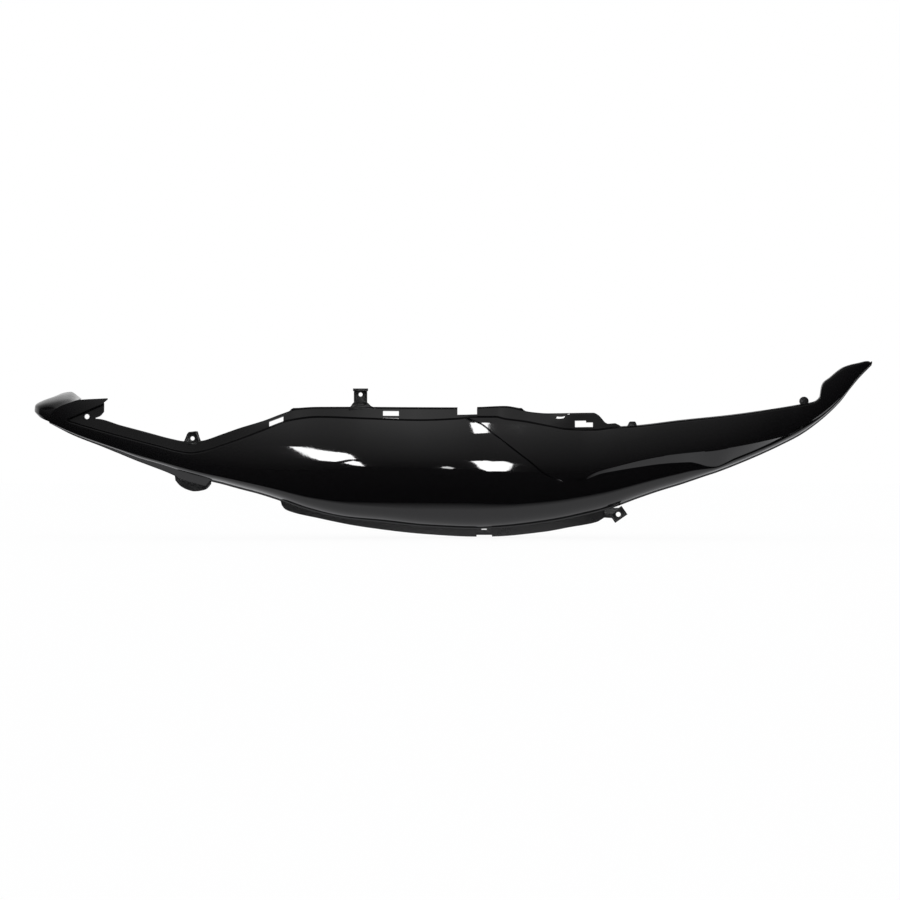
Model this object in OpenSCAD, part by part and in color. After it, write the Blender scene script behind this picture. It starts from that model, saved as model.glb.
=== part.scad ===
// Rear side panel of a scooter, left hand: one glossy moulded shell with its
// flanges, lugs, slots, tabs and locating peg.
// X runs from the nose to the tail, Z is up and the outer face looks towards -Y.
// The origin is the mouth of the bore in the upper lug.

/* [Shell] */
// Length from the nose tip to the tail tip
panel_length = 1016; // [900:1:1100]
// Height from the lower flange to the tail tip
panel_height = 213; // [190:1:235]
// Thickness of the moulded wall
wall = 2.5; // [2:0.1:3]
// Radius of the outer face between its top edge and its lower edge
crown_radius = 170; // [150:5:260]
// Radius of the outer face along its length, seen from above
bow_radius = 3650; // [3000:50:5000]
// How far the tail tip sweeps in beyond the even bow
tail_sweep = 32; // [15:1:50]
// How far the nose corner turns in beyond the even bow
nose_turn = 3; // [0:0.5:6]

/* [Upper flange] */
// How far the upper flange is set in from the outer face
flange_step = 3.5; // [3:0.1:6]
// Inward lean of the upper flange for each millimetre of its height
flange_lean = 0.2; // [0:0.01:0.3]
// Depth of the rolled lip along the top of the tail
lip_depth = 5.5; // [4:0.1:7]

/* [Slots] */
// Length of the front slot in the upper flange
front_slot_length = 17; // [12:0.5:20]
// Height of the front slot
front_slot_height = 6.2; // [5:0.1:6.5]
// Length of the middle slot
middle_slot_length = 19; // [14:0.5:24]
// Height of the middle slot
middle_slot_height = 6.4; // [5:0.1:7]
// Length of the rear slot
rear_slot_length = 21.5; // [16:0.5:26]
// Height of the rear slot
rear_slot_height = 8; // [6:0.1:9]
// Height of the step in the rear slot's upper rear corner
rear_slot_step = 2.2; // [1:0.1:3]
// Length of the open notch in the upper flange
upper_notch_length = 23.5; // [18:0.5:28]
// Depth of the open notch in the upper flange
upper_notch_depth = 7.6; // [6:0.1:8.5]
// Length of the notch in the lower flange
lower_notch_length = 18.5; // [14:0.5:22]

/* [Seam] */
// Width of the groove that crosses the face
seam_width = 2; // [1:0.1:3]
// Depth of the groove
seam_depth = 1.2; // [0.6:0.1:1.5]

/* [Upper lug] */
// Diameter of the bore in the upper lug
lug_bore = 4.8; // [4:0.1:7]
// Width of the tray around the upper bore
lug_width = 18; // [16:0.5:22]
// How far the tray's floor is set back from its rim
lug_depth = 4; // [3:0.1:5.5]
// Height of the tray's top edge over the bore
lug_head = 7.2; // [6:0.1:9]
// Thickness of the tray's side walls
lug_side = 1.8; // [1.4:0.1:2.6]
// Thickness of the tray's top bar
lug_bar = 3; // [2:0.1:3.5]

/* [Front ear] */
// Diameter of the bore in the front ear
ear_bore = 5; // [4:0.1:6]
// Width of the front ear at its foot
ear_width = 21; // [18:0.5:24]
// Height of the front ear over its bore
ear_head = 8.7; // [7:0.1:10]

/* [Nose screw] */
// Diameter of the screw bore in the nose pocket
nose_bore = 6; // [4:0.1:7]
// Diameter of the boss behind the nose pocket
nose_boss = 11; // [10:0.5:13]
// How far the nose boss stands out behind the wall
nose_boss_rise = 2; // [1:0.1:4]

/* [Lower rear tab] */
// Diameter of the bore in the lower rear tab
tab_bore = 5.8; // [4:0.1:7]
// Length of the lower rear tab's tray
tab_length = 18; // [15:0.5:22]
// Width of the lower rear tab's tray
tab_width = 12.5; // [11:0.5:16]
// Slope of the lower rear tab
tab_angle = 35; // [25:1:45]
// Height of the rim around the lower rear tab
tab_rim = 1.5; // [1:0.1:3]

/* [Tail peg] */
// Diameter of the locating peg
peg_diameter = 8; // [6:0.1:9]
// Length of the peg behind its collar
peg_length = 12; // [8:0.5:16]
// Diameter of the peg's collar
peg_collar = 11; // [10:0.5:13]
// How far the peg's collar stands out behind the rolled lip
collar_thickness = 3; // [2:0.1:4]

/* [Hidden] */
panel_color = "#1c1c1f";
$fn = 48;

// The outlines below are drawn for this length and this height and stretch with the panel
drawn_length = 1016;
drawn_height = 213;
length_scale = panel_length / drawn_length;
height_scale = panel_height / drawn_height;
function outline(points) = [for (p = points) [p[0] * length_scale, p[1] * height_scale]];
function depth_outline(points) = [for (p = points) [p[0] * length_scale, p[1]]];
function along_panel(x) = x * length_scale;
function up_panel(z) = z * height_scale;

// Outlines seen from the outer side, as [x, z] from the nose to the tail
flange_top = outline([
    [-374.7, -32.9], [-352.5, -30.4], [-335, -30], [-318, -28.9], [-287.5, -37], [-256.5, -45.2],
    [-225.5, -53.4], [-212.5, -55.9], [-201.5, -56.7], [-190, -55.4], [-165.5, -47.4], [-145, -40.2],
    [-116, -31.3], [-92, -22.2], [-78.5, -18], [-51, -16], [-14, -15.9], [52, -16.4], [115.5, -16.7],
    [139.5, -16.2], [173, -14.8], [204.5, -20.9], [225, -22.5], [279.5, -21.8], [285.5, -24.6],
    [296.5, -35], [305.5, -34.4], [309.6, -36.2], [620.5, 45]
]);
face_top = outline([
    [-374.7, -33], [-352.5, -32.4], [-333, -37.4], [-303, -45.8], [-271.5, -54.2], [-242, -61.8],
    [-219, -67.8], [-203.5, -70], [-188, -67.8], [-165, -60.6], [-144.5, -53.4], [-108.5, -39.5],
    [-88, -31.4], [-51, -26.7], [4, -28.6], [71.5, -30.7], [117, -28.9], [139.5, -26.6], [162.5, -26.6],
    [173, -29.1], [197, -32.2], [220, -36.6], [250, -41.4], [281, -42], [304, -39.4], [333, -37.4],
    [383.5, -31.3], [445.5, -24.8], [492, -18.3], [529.5, -12.2], [547.5, -8.6], [552.5, -5.4],
    [554.8, -1.8], [556.6, 9], [559.5, 14.6], [567, 20.3], [579, 29.9], [584.5, 33.2], [591.5, 35.7],
    [604, 38.9], [614.5, 41.3], [620.5, 39]
]);
belt_line = outline([
    [-374.7, -33.2], [-337, -42.6], [-288.5, -58.2], [-187.5, -83.4], [-72, -90.5], [4.5, -86.9],
    [114.5, -88.1], [215, -96.5], [261.5, -100.8], [287, -91.4], [311, -85], [335, -79], [359, -74.4],
    [383, -71.2], [407, -68.8], [429, -66.2], [455, -62], [484, -56.2], [517.5, -47.6], [536, -36.4],
    [554.5, -24], [577, -6], [590, 8], [600, 19.5], [620.5, 38.9]
]);
// Middle of the face's crown, which passes the shelf's corner evenly
crown_line = outline([
    [-374.7, -33.2], [-337, -42.6], [-288.5, -58.2], [-187.5, -83.4], [-72, -90.5], [4.5, -86.9],
    [114.5, -88.1], [190, -92.5], [262, -93], [311, -88], [359, -80.5], [407, -73], [455, -64], [484, -57],
    [517.5, -47.6], [536, -36.4], [554.5, -24], [577, -6], [590, 8], [600, 19.5], [620.5, 38.9]
]);
shelf_line = outline([
    [-374.7, -33.3], [-337, -44], [-288.5, -60], [-187.5, -87], [-72, -98], [4.5, -97], [114.5, -99],
    [215, -103], [262, -103.8], [287, -95.4], [311, -90.8], [335, -87], [359, -83.6], [383.5, -81.6],
    [395.5, -81.2], [407.5, -83.4], [417, -86.2], [425, -86.8], [450.5, -76.4], [477, -66], [508, -52.2],
    [531, -39.8], [556, -25.2], [577, -7.2], [590, 7.2], [600, 18.9], [620.5, 38.8]
]);
curl_top = outline([
    [-374.7, -33.5], [-338, -48.5], [-289.5, -65.2], [-226.5, -83.4], [-188, -93.4], [-144.5, -102.4],
    [-106, -110.8], [-51, -123.6], [4.5, -132.1], [71.5, -136.4], [114.5, -136.6], [166, -133.6],
    [215, -126.8], [240, -122], [263, -116.8], [287, -111.6], [311, -106.4], [335, -101.2], [359, -96],
    [383, -91.2], [401, -88.8], [425, -88], [450.5, -78], [477, -67.2], [508, -53.6], [531, -41.2],
    [556, -26.6], [577, -8.4], [590, 6.2], [600, 18.2], [620.5, 38.7]
]);
curl_foot = outline([
    [-374.7, -33.9], [-340.5, -49.6], [-291.5, -67.3], [-267, -76.6], [-236, -85.9], [-213, -93.6],
    [-180.5, -102.4], [-168.5, -105.2], [-146, -111.4], [-123, -117.4], [-101.5, -124.2], [-61.5, -138],
    [-15.5, -148.2], [23, -152.1], [81, -158.1], [138.5, -160.5], [161.5, -159.7], [219.5, -153.3],
    [276, -142.1], [298, -136], [336, -122.2], [361, -113.8], [385, -106.6], [412, -97.6], [431.5, -91.2],
    [478.5, -72.4], [510.5, -57.6], [531, -47], [556, -29.4], [580, -7.4], [595, 11.4], [605, 23],
    [620.5, 38.5]
]);
nose_crease = outline([
    [-374.7, -32.6], [-374.2, -28.8], [-373.5, -25.6], [-370, -20.8], [-365, -16], [-356.5, -11.9],
    [-348, -9], [-339.5, -6.4], [-304, -4.4]
]);
ear_fold = outline([[-352.5, -29.2], [-333.5, -21.1], [-318, -14.3], [-312, -11.8], [-304, -5.8]]);
hook_edge = outline([
    [-352.5, -29.9], [-333, -28.6], [-318.5, -27.5], [-314, -26], [-312, -24.6], [-308.5, -20.6],
    [-304, -19]
]);

// Lower ramp of the front return flange, as [x, drop below the curl]
return_drop = depth_outline([
    [-374.7, 0.6], [-322, 1], [-291.5, 2.5], [-267, 3.2], [-244, 5], [-224, 7], [-217, 9], [-188, 9.4],
    [-181, 1.2], [620.5, 1]
]);
// Lower edges of the hanging front tab and of the lower flange, as [x, z]
front_tab_edge = outline([
    [-223.5, -103], [-217.5, -110], [-209, -114.5], [-200.5, -116.5], [-189, -114.9], [-181.5, -107.6]
]);
lower_flange_edge = outline([
    [-96, -129.5], [-95, -133], [-89, -139], [-51.5, -148.5], [4, -159.3], [81, -168.1], [138.5, -170.9],
    [159, -170.7], [219.5, -165.2], [251, -159.6], [283.5, -153.4], [293, -148]
]);
// Seam from the face's top edge down to the belt, as [x, z]
seam_line = outline([
    [124, -26.8], [127.6, -28.9], [143.8, -35], [159.9, -47.4], [181.5, -64.2], [204.3, -81.8],
    [219.9, -94.7], [234.8, -101.7], [242.6, -104.5]
]);
// How far the edge reaches below the ramp where no flange hangs from it
edge_drop = 0.9;

// Depth of the under-curl and of the shelf below the belt line, as [x, depth]
curl_depth = depth_outline([
    [-374.7, 5], [-300, 12], [-225, 18], [-140, 22], [0, 23], [140, 24], [250, 23], [321, 20], [385, 17],
    [430, 14], [478, 14], [510, 14], [542, 12], [575, 9], [600, 6], [620.5, 3]
]);
shelf_depth = depth_outline([
    [-374.7, 0], [240, 0], [288, 2], [335, 5], [384, 9], [425, 14], [450, 13.5], [477, 11], [508, 6],
    [540, 3], [620.5, 1]
]);

// Hood that closes the nose: for each place on the crease its point on two middle lines and the far edge
hood_near = [
    [-385.5, 17, -28], [-389, 18, -22.6], [-389, 19, -17.2], [-383.5, 20, -12.9], [-375, 21, -9.9],
    [-363, 21, -6.3], [-351, 20, -4.5], [-340, 18, -5.2]
];
hood_mid = [
    [-391, 34, -24.3], [-395.5, 36, -18.8], [-395, 38, -12.7], [-388, 40, -7.8], [-377.5, 41, -4.2],
    [-364, 42, -0.5], [-353, 42, 0.7], [-340, 34, -4.6]
];
hood_far = [
    [-386.5, 56, -25.3], [-390.5, 60, -19.1], [-389.5, 62, -11.8], [-383.5, 64, -5.1], [-374, 65, -0.8],
    [-363, 65, 3.3], [-354.5, 64, 4.3], [-340, 48, -4.3]
];

// Places along the panel where a feature begins or ends
nose_x = along_panel(-374.7);
nose_turn_x = along_panel(-330);
pocket_x = along_panel(-352.5);
pocket_floor_x = along_panel(-349);
hood_end_x = along_panel(-339.5);
hook_root_x = along_panel(-318.5);
fold_end_x = along_panel(-312);
hook_end_x = along_panel(-308.5);
ear_tip_x = along_panel(-304);
front_slot_x = along_panel(-101);
middle_slot_x = along_panel(36.5);
upper_notch_x = along_panel(128);
rear_slot_x = along_panel(268);
lower_notch_x = along_panel(148.5);
flange_end_x = along_panel(309.6);
lip_start_x = along_panel(312.5);
tail_sweep_x = along_panel(300);
tail_squeeze_x = along_panel(596);
tail_x = along_panel(620.5);
bow_centre_x = along_panel(60);

// Drop of each slot's upper edge below the flange's top edge
front_slot_drop = 3.4;
middle_slot_drop = 2.9;
rear_slot_drop = 9.2;

// Spacing of the sections through the shell, and the least gap left between two of them
section_step = 19;
section_gap = 4;
// Two features nearer than this share a section, and a sharp step is this wide
least_gap = 0.2;
step_gap = 0.6;

function sorted(v) =
    len(v) < 2 ? v :
    let (pivot = v[floor(len(v) / 2)])
    concat(
        sorted([for (e = v) if (e < pivot) e]),
        [pivot],
        sorted([for (e = v) if (e > pivot) e])
    );
function mix(a, b, share) = a + (b - a) * share;
function limited(v) = min(max(v, 0), 1);
function unit(v) = v / norm(v);

// Smooth line through [x, value] points, which doesn't swing past them
function rise(points, i) = (points[i + 1][1] - points[i][1]) / (points[i + 1][0] - points[i][0]);
function knot_slope(points, i) =
    i == 0 ? rise(points, 0) :
    i == len(points) - 1 ? rise(points, i - 1) :
    let (before = rise(points, i - 1), after = rise(points, i))
    before * after <= 0 ? 0 : 2 * before * after / (before + after);
function span_at(points, x, i = 0) =
    i >= len(points) - 2 || x < points[i + 1][0] ? i : span_at(points, x, i + 1);
function at(points, x) =
    let (
        i = span_at(points, x),
        width = points[i + 1][0] - points[i][0],
        t = limited((x - points[i][0]) / width),
        start_pull = knot_slope(points, i) * width,
        end_pull = knot_slope(points, i + 1) * width
    )
    points[i][1] * (2 * pow(t, 3) - 3 * t * t + 1) + start_pull * (pow(t, 3) - 2 * t * t + t)
    + points[i + 1][1] * (3 * t * t - 2 * pow(t, 3)) + end_pull * (pow(t, 3) - t * t);

// Outer face: an even crown about its own line on a bowed plan, with the shelf cut in below the belt
function crown(x, z) = pow(z - at(crown_line, x), 2) / (2 * crown_radius);
function bow(x) =
    pow(x - bow_centre_x, 2) / (2 * bow_radius)
    + (x > tail_sweep_x ? tail_sweep * pow((x - tail_sweep_x) / (tail_x - tail_sweep_x), 3) : 0)
    + (x < nose_turn_x ? nose_turn * pow((x - nose_turn_x) / (nose_x - nose_turn_x), 2) : 0);
function shelf(x, z) =
    at(shelf_depth, x)
    * limited((at(belt_line, x) - z) / max(at(belt_line, x) - at(shelf_line, x), 0.01));
middle_y =
    -lug_depth - flange_step - flange_lean * (at(flange_top, 0) - at(face_top, 0))
    - crown(0, at(face_top, 0)) - bow(0);
function face_y(x, z) = middle_y + bow(x) + crown(x, z) + shelf(x, z);
function flange_y(x, z) = face_y(x, at(face_top, x)) + flange_step + flange_lean * (z - at(face_top, x));
function flange_foot_y(x) = face_y(x, at(curl_top, x)) + at(curl_depth, x) + foot_set;
// How far the lower flange hangs behind the foot of the under-curl
foot_set = 0.6;

// Upper lug: rim over the flange's face, lap of its foot on the flange, neck and shelf under the
// tray, how far the foot flares to the front and to the rear, and how far it reaches into the tray
pad_rise = 0.6;
foot_lap = 3.5;
lug_neck = 4.6;
lug_shelf = 2.5;
foot_front = 5;
foot_rear = 10.5;
foot_shoulder = 2.5;
tray_lap = 1;

// Front ear: place, seat behind the flange's face, rim height and rim width
ear_x = along_panel(-201.5);
ear_z = at(flange_top, ear_x) + 4;
ear_y = flange_y(ear_x, ear_z) + 1.2;
ear_rim = 1.6;
ear_frame = 3.6;
ear_foot = 8;

// Nose screw, in the floor of the pocket
screw_x = along_panel(-329);
screw_z = up_panel(-26.5);
screw_y = flange_y(screw_x, screw_z);
screw_clear = 6;

// Lower rear tab: place, seat behind the flange, width of its rim, and how far its bridge laps the
// flange, starts inside the flange's corner and reaches over and under the tab's middle
tab_x = along_panel(310);
tab_z = up_panel(-144.1);
tab_y = flange_foot_y(along_panel(288)) + 0.7;
tab_frame = 2;
bridge_lap = 10;
bridge_seat = 0.8;
bridge_over = 8;
bridge_under = 4.5;

// Tail peg: place over the tail's top edge, seat in the wall, and length of its collar
peg_x = along_panel(535);
peg_z = at(face_top, peg_x) + 3.6;
peg_y = face_y(peg_x, at(face_top, peg_x)) + 1;
collar_length = lip_depth + collar_thickness - 1;

// Stop behind the upper flange: place, seat in the wall and outline about its foot
stop_x = along_panel(326);
stop_seat = 1.2;
stop_outline = [
    [-6.2, -3], [-6.2, 0], [-3.9, 4.6], [-2.8, 5.6], [3.2, 5.6], [4, 4.8], [6, 0], [6, -3]
];

// Bar in the rear slot: where it starts, its lap in the flange and its seat in the wall
step_share = 0.12;
step_lap = 1;
step_seat = 0.3;

// Seam: rings along it, how fast it fades at its foot, and the cut's reach in front of the face
seam_steps = 20;
seam_fade = 6;
seam_clear = 1;

// Clip behind the lower notch: seat behind the flange, lap on each side, and its own slot
clip_seat = 1.6;
clip_lap = 2.5;
clip_slot_length = 7;
clip_slot_height = 1.6;
clip_slot_drop = 2.4;

// Shares of the flange's height at which its rows lie where it has no slot
flange_shares = [0.32, 0.66];
// Slots in the upper flange, as [middle x, length, drop, height]
slots = [
    [front_slot_x, front_slot_length, front_slot_drop, front_slot_height],
    [middle_slot_x, middle_slot_length, middle_slot_drop, middle_slot_height],
    [rear_slot_x, rear_slot_length, rear_slot_drop, rear_slot_height]
];
function in_span(x, middle, length) = abs(x - middle) <= length / 2 + 0.01;
function flange_rows(x, height) =
    let (slot = [for (s = slots) if (in_span(x, s[0], s[1])) s])
    len(slot) > 0 ? [slot[0][2], slot[0][2] + slot[0][3]] :
    in_span(x, upper_notch_x, upper_notch_length) ? [upper_notch_depth / 2, upper_notch_depth] :
    [for (share = flange_shares) share * height];

// Rows of a section, from the hood's far edge down to the lower flange's edge
HOOD_FAR = 0;
CREASE = 3;
FOLD_OUT = 4;
FOLD_IN = 5;
HOOK = 6;
FLANGE_TOP = 7;
SLOT_TOP = 8;
SLOT_FOOT = 9;
FLANGE_ROOT = 10;
FACE_TOP = 11;
face_rows = 3;
BELT = FACE_TOP + face_rows + 1;
SHELF = BELT + 1;
low_rows = 2;
CURL_TOP = SHELF + low_rows + 1;
curl_rows = 4;
CURL_FOOT = CURL_TOP + curl_rows + 1;
RAMP_FOOT = CURL_FOOT + 1;
EDGE = RAMP_FOOT + 1;
row_count = EDGE + 1;

// Height of the flange's root and of the tail's lip over the face's edge, and width of the ear's fold
root_rise = 0.4;
lip_rise = 0.8;
fold_width = 0.5;
// Depth of the rolled lip at its rows, as shares of its full depth
lip_shares = [0, 0, 1, 0.76, 0.53, 0.3];

// Heights of the rows from the crease to the curl's foot at one place along the panel
function true_heights(x) =
    let (
        top = at(flange_top, x),
        face = at(face_top, x),
        belt = at(belt_line, x),
        shelf_z = at(shelf_line, x),
        curl = at(curl_top, x),
        drops = flange_rows(x, top - face),
        lipped = limited((x - flange_end_x) / (lip_start_x - flange_end_x)),
        root = face + root_rise,
        lip_z = face + lip_rise
    )
    concat(
        [at(nose_crease, x), at(ear_fold, x), at(ear_fold, x) - fold_width, at(hook_edge, x)],
        [
            mix(top, lip_z, lipped),
            mix(top - drops[0], lip_z, lipped),
            mix(top - drops[1], lip_z, lipped),
            root,
            face
        ],
        [for (k = [1:face_rows]) mix(face, belt, k / (face_rows + 1))],
        [belt, shelf_z],
        [for (k = [1:low_rows]) mix(shelf_z, curl, k / (low_rows + 1))],
        [curl]
    );
function squeezed(heights, top, foot, new_top, new_foot) =
    [for (z = heights) mix(new_top, new_foot, (z - top) / (foot - top))];
function heights(x) =
    x < pocket_x ?
        let (h = true_heights(pocket_x))
        squeezed(h, h[0], at(curl_foot, pocket_x), at(nose_crease, x), at(curl_foot, x)) :
    x > tail_squeeze_x ?
        let (h = true_heights(tail_squeeze_x), face = at(face_top, tail_squeeze_x))
        squeezed(h, face, at(curl_foot, tail_squeeze_x), at(face_top, x), at(curl_foot, x)) :
    true_heights(x);

// How far each row from the crease to the face's top edge lies behind the outer face
function insets(x, h) =
    let (
        pocket = limited((x - pocket_x) / (pocket_floor_x - pocket_x)),
        lipped = limited((x - flange_end_x) / (lip_start_x - flange_end_x)),
        face = face_y(x, h[FACE_TOP - CREASE]),
        first = FOLD_IN - CREASE,
        set_in = [for (z = h) pocket * (flange_y(x, z) - face_y(x, z))],
        lip = [for (r = [0:5]) lip_shares[r] * lip_depth + face - face_y(x, h[r + first])]
    )
    concat([0, 0], [for (r = [0:5]) mix(set_in[r + first], lip[r], lipped)], [0]);

// Under-curl: one bend from the face's slope to level, as [y, z]
curl_start_pull = 0.55;
curl_end_pull = 0.5;
curl_end_rise = 0.04;
function bend(start, start_pull, end_pull, end, t) =
    start * pow(1 - t, 3) + start_pull * 3 * t * pow(1 - t, 2)
    + end_pull * 3 * t * t * (1 - t) + end * pow(t, 3);
function curl_point(x, top, t) =
    let (
        foot = at(curl_foot, x),
        y = face_y(x, top),
        depth = at(curl_depth, x),
        drop = top - foot,
        slope = (at(crown_line, x) - top) / crown_radius
    )
    bend(
        [y, top], [y + slope * drop * curl_start_pull, top - drop * curl_start_pull],
        [y + depth * curl_end_pull, foot + drop * curl_end_rise], [y + depth, foot], t
    );

function last(points) = points[len(points) - 1];
function covers(points, x) = x >= points[0][0] && x <= last(points)[0];
function lower_edge(x, ramp) =
    covers(front_tab_edge, x) ? min(ramp - edge_drop, at(front_tab_edge, x)) :
    covers(lower_flange_edge, x) ? min(ramp - edge_drop, at(lower_flange_edge, x)) :
    ramp - edge_drop;

// Points of the hood at one place along the crease
function hood_point(points, x) =
    let (
        steps = [0:len(points) - 1],
        along = [for (axis = [0:2]) [for (i = steps) [nose_crease[i][0], points[i][axis]]]]
    )
    [at(along[0], x) * length_scale, at(along[1], x), at(along[2], x) * height_scale];

// Ramp under the curl: its set back for each millimetre of drop, its most, and the edge's set back
ramp_slope = 0.8;
ramp_reach = 8;
edge_set = 0.3;
function section(x) =
    let (
        h = heights(x),
        set = insets(x, h),
        curl = last(h),
        foot = curl_point(x, curl, 1),
        drop = at(return_drop, x),
        ramp = [foot[0] + min(drop * ramp_slope, ramp_reach), foot[1] - drop],
        hood_x = min(x, hood_end_x)
    )
    concat(
        [hood_point(hood_far, hood_x), hood_point(hood_mid, hood_x), hood_point(hood_near, hood_x)],
        [for (r = [0:len(h) - 1]) [x, face_y(x, h[r]) + (r < len(set) ? set[r] : 0), h[r]]],
        [for (k = [1:curl_rows + 1]) let (p = curl_point(x, curl, k / (curl_rows + 1))) [x, p[0], p[1]]],
        [[x, ramp[0], ramp[1]], [x, ramp[0] + edge_set, lower_edge(x, ramp[1])]]
    );

// Places of the sections: at every feature, and evenly between them
function slot_ends(middle, length) = [middle - length / 2, middle + length / 2];
function edge_ends(points) = [
    points[0][0] - step_gap, each [for (p = points) p[0]], last(points)[0] + step_gap
];
feature_x = sorted(concat(
    [for (i = [0:len(hood_far) - 1]) nose_crease[i][0]],
    [pocket_x, pocket_floor_x, hook_root_x, along_panel(-314), fold_end_x, hook_end_x, ear_tip_x],
    [along_panel(-344), along_panel(-333), along_panel(-326)],
    [for (s = slots) each slot_ends(s[0], s[1])],
    slot_ends(upper_notch_x, upper_notch_length),
    slot_ends(lower_notch_x, lower_notch_length),
    edge_ends(front_tab_edge),
    edge_ends(lower_flange_edge),
    [for (i = [2:6]) flange_top[len(flange_top) - i][0]],
    [lip_start_x, along_panel(425), along_panel(552.5), along_panel(554.8), along_panel(556.6)],
    [along_panel(559.5), along_panel(584.5), along_panel(605), along_panel(614.5), tail_x]
));
even_x = [
    for (x = [nose_x + section_step:section_step:tail_x - section_gap])
    if (min([for (f = feature_x) abs(f - x)]) > section_gap) x
];
all_x = sorted(concat(feature_x, even_x));
section_x = [for (i = [0:len(all_x) - 1]) if (i == 0 || all_x[i] - all_x[i - 1] > least_gap) all_x[i]];
section_count = len(section_x);
outer_points = [for (x = section_x) section(x)];

// Direction along the panel of each row, taken from the row that guides it
function guide(row) =
    row > CREASE && row < FACE_TOP ? FACE_TOP :
    row > CURL_FOOT ? CURL_FOOT :
    row;
function run(i, row) =
    let (
        r = guide(row),
        end = row < CREASE ? hood_sections : section_count - 1,
        before = outer_points[max(i - 1, 0)][r],
        after = outer_points[min(i + 1, end)][r]
    )
    unit(after - before);
hood_sections = len([for (x = section_x) if (x <= hood_end_x + 0.01) x]) - 1;

// Inner side of the wall: each row moved square to the two strips that meet at it
function strip_normal(i, row, along) =
    unit(cross(outer_points[i][row + 1] - outer_points[i][row], along));
function first_row(i) =
    i <= hood_sections ? HOOD_FAR :
    section_x[i] < ear_tip_x + 0.01 ? CREASE :
    FLANGE_TOP;
function inner_point(i, row) =
    let (
        along = run(i, row),
        below = strip_normal(i, min(row, row_count - 2), along),
        above = row <= first_row(i) ? below : strip_normal(i, row - 1, along),
        share = max(1 + above * below, 0.5)
    )
    outer_points[i][row] - wall * (above + below) / share;
inner_points = [
    for (i = [0:section_count - 1])
    [for (r = [0:row_count - 1]) r < first_row(i) ? outer_points[i][r] : inner_point(i, r)]
];

// Which strips of the shell are there between two neighbouring sections
function is_wall(i, row) =
    i < 0 || row < 0 || i > section_count - 2 || row > row_count - 2 ? false :
    let (x = (section_x[i] + section_x[i + 1]) / 2)
    row < CREASE ? x < hood_end_x :
    row == CREASE ? x < ear_tip_x :
    row == FOLD_OUT ? x < fold_end_x :
    row == FOLD_IN ? x < hook_end_x :
    row == HOOK ? x < hook_root_x :
    row == SLOT_TOP && len([for (s = slots) if (in_span(x, s[0], s[1])) s]) > 0 ? false :
    row < SLOT_FOOT && in_span(x, upper_notch_x, upper_notch_length) ? false :
    row == RAMP_FOOT && in_span(x, lower_notch_x, lower_notch_length) ? false :
    true;

function corner(i, row) = i * row_count + row;
function two_sides(a, b, c, d) = [[a, b, c], [a, c, d]];
function rim(from, to) =
    let (n = section_count * row_count)
    two_sides(to, from, from + n, to + n);
function strip_faces(i, row) =
    let (
        n = section_count * row_count,
        a = corner(i, row),
        b = corner(i + 1, row),
        c = corner(i + 1, row + 1),
        d = corner(i, row + 1)
    )
    concat(
        two_sides(a, b, c, d),
        two_sides(d + n, c + n, b + n, a + n),
        is_wall(i, row - 1) ? [] : rim(a, b),
        is_wall(i + 1, row) ? [] : rim(b, c),
        is_wall(i, row + 1) ? [] : rim(c, d),
        is_wall(i - 1, row) ? [] : rim(d, a)
    );

module shell() {
    polyhedron(
        points = concat(
            [for (s = outer_points) each s],
            [for (s = inner_points) each s]
        ),
        faces = [
            for (i = [0:section_count - 2])
            for (row = [0:row_count - 2])
            if (is_wall(i, row)) each strip_faces(i, row)
        ],
        convexity = 8
    );
}

// A flat plate of the given outline, square to the draw direction
module plate(points, front, thickness) {
    translate([0, front + thickness, 0])
        rotate([90, 0, 0])
            linear_extrude(thickness) polygon(points);
}

// A round bar or bore along the draw direction
module along_draw(x, front, z, diameter, length) {
    translate([x, front, z])
        rotate([-90, 0, 0])
            cylinder(d = diameter, h = length);
}

// Bar that steps down the upper rear corner of the rear slot
module slot_step() {
    foot = at(flange_top, rear_slot_x) - rear_slot_drop - rear_slot_step;
    start = rear_slot_x + rear_slot_length * step_share;
    end = rear_slot_x + rear_slot_length / 2 + step_lap;
    plate([
        [start, foot], [start, foot + rear_slot_step + step_lap],
        [end, foot + rear_slot_step + step_lap], [end, foot]
    ], flange_y(start, foot) + step_seat, wall - 2 * step_seat);
}

// Groove with sloping sides that crosses the face and runs out at the belt
module seam() {
    first = seam_line[0][0];
    length = last(seam_line)[0] - first;
    rings = [for (k = [0:seam_steps]) seam_ring(first + length * k / seam_steps, k / seam_steps)];
    polyhedron(
        points = [for (ring = rings) each ring],
        faces = concat(
            [[0, 1, 2], [for (k = [2:-1:0]) 3 * seam_steps + k]],
            [
                for (k = [0:seam_steps - 1])
                for (side = [0:2])
                let (a = 3 * k + side, b = 3 * k + (side + 1) % 3)
                each two_sides(b, a, a + 3, b + 3)
            ]
        )
    );
}
function seam_ring(x, share) =
    let (
        z = at(seam_line, x),
        run = unit([1, 0, at(seam_line, x + 0.5) - at(seam_line, x - 0.5)]),
        depth = seam_depth * min(1, seam_fade * (1 - share) + 0.1),
        half = seam_width / 2 * (depth + seam_clear) / depth,
        across = [-run[2], 0, run[0]] * half,
        upper = [x, 0, z] + across,
        lower = [x, 0, z] - across
    )
    [
        upper + [0, face_y(upper[0], upper[2]) - seam_clear, 0],
        lower + [0, face_y(lower[0], lower[2]) - seam_clear, 0],
        [x, face_y(x, z) + depth, z]
    ];

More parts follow.
